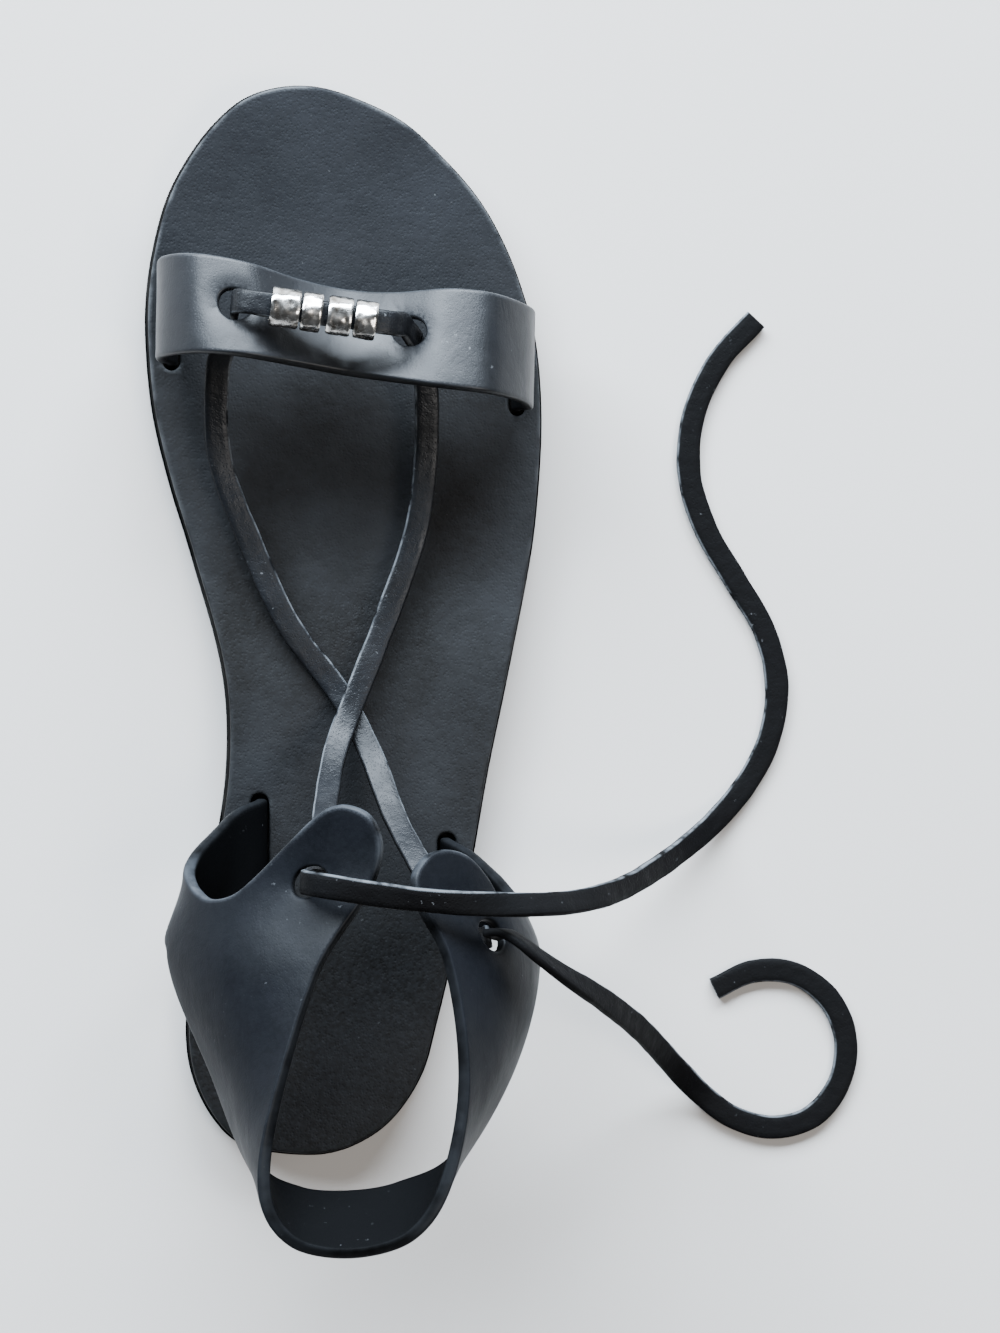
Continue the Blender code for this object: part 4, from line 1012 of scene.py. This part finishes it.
def lace(name, table, material, highlight_side, seed, lift=None, flesh_up=False):
    """A fine lace along a route, and the line of its middle. The side given after material is the edge painted pale,
    as a highlight.
    """
    path = smooth_path(lace_route(table), 0.0011)
    places, facings = path[:, :3], path[:, 3:]
    if lift is not None:
        places = places + lift(places)
    ahead = np.gradient(places, axis=0)
    ahead /= np.linalg.norm(ahead, axis=1)[:, None]
    facings = facings - (facings * ahead).sum(1)[:, None] * ahead
    facings /= np.linalg.norm(facings, axis=1)[:, None]
    side = np.cross(ahead, facings)
    section = np.array(LACE_SECTION)
    count = len(section)
    wander = waves(places, 0.006, 0.06, seed)
    points, pale, flesh = [], [], []
    for place, face, across, extra in zip(places, facings, side, wander):
        for u, v in section:
            points.append(place + across * u * LACE_WIDTH * (1 + extra) / 2 + face * v * LACE_THICK * 0.94 / 2)
            # The edge on the given side is marked to be painted pale, as a highlight.
            pale.append(1.0 if u * highlight_side > 0.90 and v > 0.0 else 0.0)
            flesh.append(1.0 if flesh_up or v < 0.5 else 0.0)
    faces = []
    for ring in range(len(places) - 1):
        for k in range(count):
            a, b = ring * count + k, ring * count + (k + 1) % count
            faces.append((a, b, b + count, a + count))
    last = (len(places) - 1) * count
    faces.append(tuple(reversed(range(count))))
    faces.append(tuple(range(last, last + count)))
    item = add_mesh(name, points, faces, material, {"edge": pale, "flesh": flesh})
    return item, places


def over_crossing(places):
    """The upper run's little hump where it lies over the lower one."""
    lift = 0.0009 * np.exp(-(((places[:, 1] - 0.0700) / 0.0110) ** 2))
    return np.column_stack([np.zeros((len(places), 2)), lift])


def under_crossing(places):
    lift = -0.0005 * np.exp(-(((places[:, 1] - 0.0700) / 0.0110) ** 2))
    return np.column_stack([np.zeros((len(places), 2)), lift])


def make_laces(material):
    for name, table, highlight_side, seed in (
        ("lace_end_medial_strip", INNER_END_ROUTE, -1, 3.0),
        ("lace_end_lateral_strip", OUTER_END_ROUTE, -1, 5.0),
    ):
        item, middle = lace(name, table, material, highlight_side, seed, flesh_up=True)
        dress(item, "sandal", "lace_leather", name.removesuffix("_strip"))
        length = float(np.linalg.norm(np.diff(middle, axis=0), axis=1).sum())
        tuple(middle[0])
    item, _ = lace("lace_lower_run", LOWER_RUN_ROUTE, material, -1, 11.0, under_crossing)
    dress(item, "sandal", "lace_leather", "lace_cross")
    item, _ = lace("lace_upper_run", UPPER_RUN_ROUTE, material, 1, 13.0, over_crossing)
    dress(item, "sandal", "lace_leather", "lace_cross")
    item, _ = lace("lace_bar_strip", BAR_ROUTE, material, 1, 17.0)
    dress(item, "sandal", "lace_leather", "lace_bar")


def make_bead(name, offset, width, material, seed):
    """A hammered tube: flat facets, a few deep dents and a turned-over rim."""
    sides, rows = 72, 15
    direction = Vector(BAR_DIRECTION).normalized()
    place = Vector(in_place(BAR_MIDDLE)) + direction * offset + Vector((0.0, 0.0, BAR_LIFT - BEAD_HANG))
    turn = direction.to_track_quat("Z", "Y").to_matrix()
    points, dents = [], []
    profile = []
    for row in range(rows):
        share = row / (rows - 1)
        rim = min(1.0, min(share, 1 - share) * width / 0.00030)
        profile.append((BEAD_RADIUS - 0.00022 * (1 - rim) ** 2, (share - 0.5) * width, 1.0))
    profile += [(BEAD_BORE_RADIUS, 0.5 * width, 0.0), (BEAD_BORE_RADIUS, -0.5 * width, 0.0)]
    for step in range(sides):
        angle = 2 * math.pi * step / sides
        for radius, along, outer in profile:
            spot = Vector((math.cos(angle) * 1.7, math.sin(angle) * 1.7, along / 0.0016)) + Vector((seed, 0, seed))
            dent = max(0.0, noise.noise(spot)) * 0.00022
            facet = 0.00010 * (0.5 + 0.5 * math.cos(7 * angle + seed + 400 * along))
            r = radius - outer * (dent + facet)
            ragged = 1.0 + 0.025 * noise.noise(Vector((math.cos(angle) * 2.2, math.sin(angle) * 2.2, seed * 5)))
            points.append(place + turn @ Vector((r * math.cos(angle), r * math.sin(angle), along * ragged)))
            dents.append(min(1.0, outer * dent / 0.00016) if outer else 0.8)
    count = len(profile)
    faces = []
    for step in range(sides):
        following = (step + 1) % sides * count - step * count
        for k in range(count):
            a, b = step * count + k, step * count + (k + 1) % count
            faces.append((a, a + following, b + following, b))
    item = add_mesh(name + "_tube", points, faces, material, {"dent": dents})
    dress(item, name, "bead_metal", name)


def make_camera():
    data = bpy.data.cameras.new("camera")
    data.sensor_fit = "VERTICAL"
    data.sensor_height = CAMERA_SENSOR
    data.lens = CAMERA_LENS
    data.clip_start = 0.01
    camera = bpy.data.objects.new("camera", data)
    bpy.context.collection.objects.link(camera)
    forward = (Vector(CAMERA_AIM) - Vector(CAMERA_PLACE)).normalized()
    up = Vector((0.0, 1.0, 0.0))
    up = (up - forward * up.dot(forward)).normalized()
    turn = Matrix((forward.cross(up), up, -forward)).transposed()
    camera.matrix_world = Matrix.Translation(CAMERA_PLACE) @ turn.to_4x4()
    bpy.context.scene.camera = camera


def make_stage():
    size = 2.5
    points = [(-size, -size, 0.0), (size, -size, 0.0), (size, size, 0.0), (-size, size, 0.0)]
    add_mesh("floor", points, [(0, 1, 2, 3)], floor_look())
    world = bpy.data.worlds.new("sky")
    world.use_nodes = True
    back = world.node_tree.nodes["Background"]
    back.inputs["Color"].default_value = (*SKY, 1.0)
    back.inputs["Strength"].default_value = SKY_STRENGTH
    bpy.context.scene.world = world
    for name, place, width, height, power, colour in LIGHTS:
        data = bpy.data.lights.new(name, "AREA")
        data.shape = "RECTANGLE"
        data.size = width
        data.size_y = height
        data.energy = power
        data.color = colour
        light = bpy.data.objects.new(name, data)
        bpy.context.collection.objects.link(light)
        light.location = place
        light.rotation_euler = (Vector((0.02, 0.08, 0.0)) - Vector(place)).to_track_quat("-Z", "Y").to_euler()


make_camera()
make_laces(lace_look())
make_toe_strap(strap_look("toe_strap_leather_fine", 0.25))
make_heel_piece(strap_look("heel_leather_fine", 0.06))
make_sole(footbed_look(), outsole_look())
bead_material = bead_look()
for number, (bead_name, bead_offset, bead_width) in enumerate(BEADS):
    make_bead(bead_name, bead_offset, bead_width, bead_material, 2.0 + number * 3.1)
make_stage()
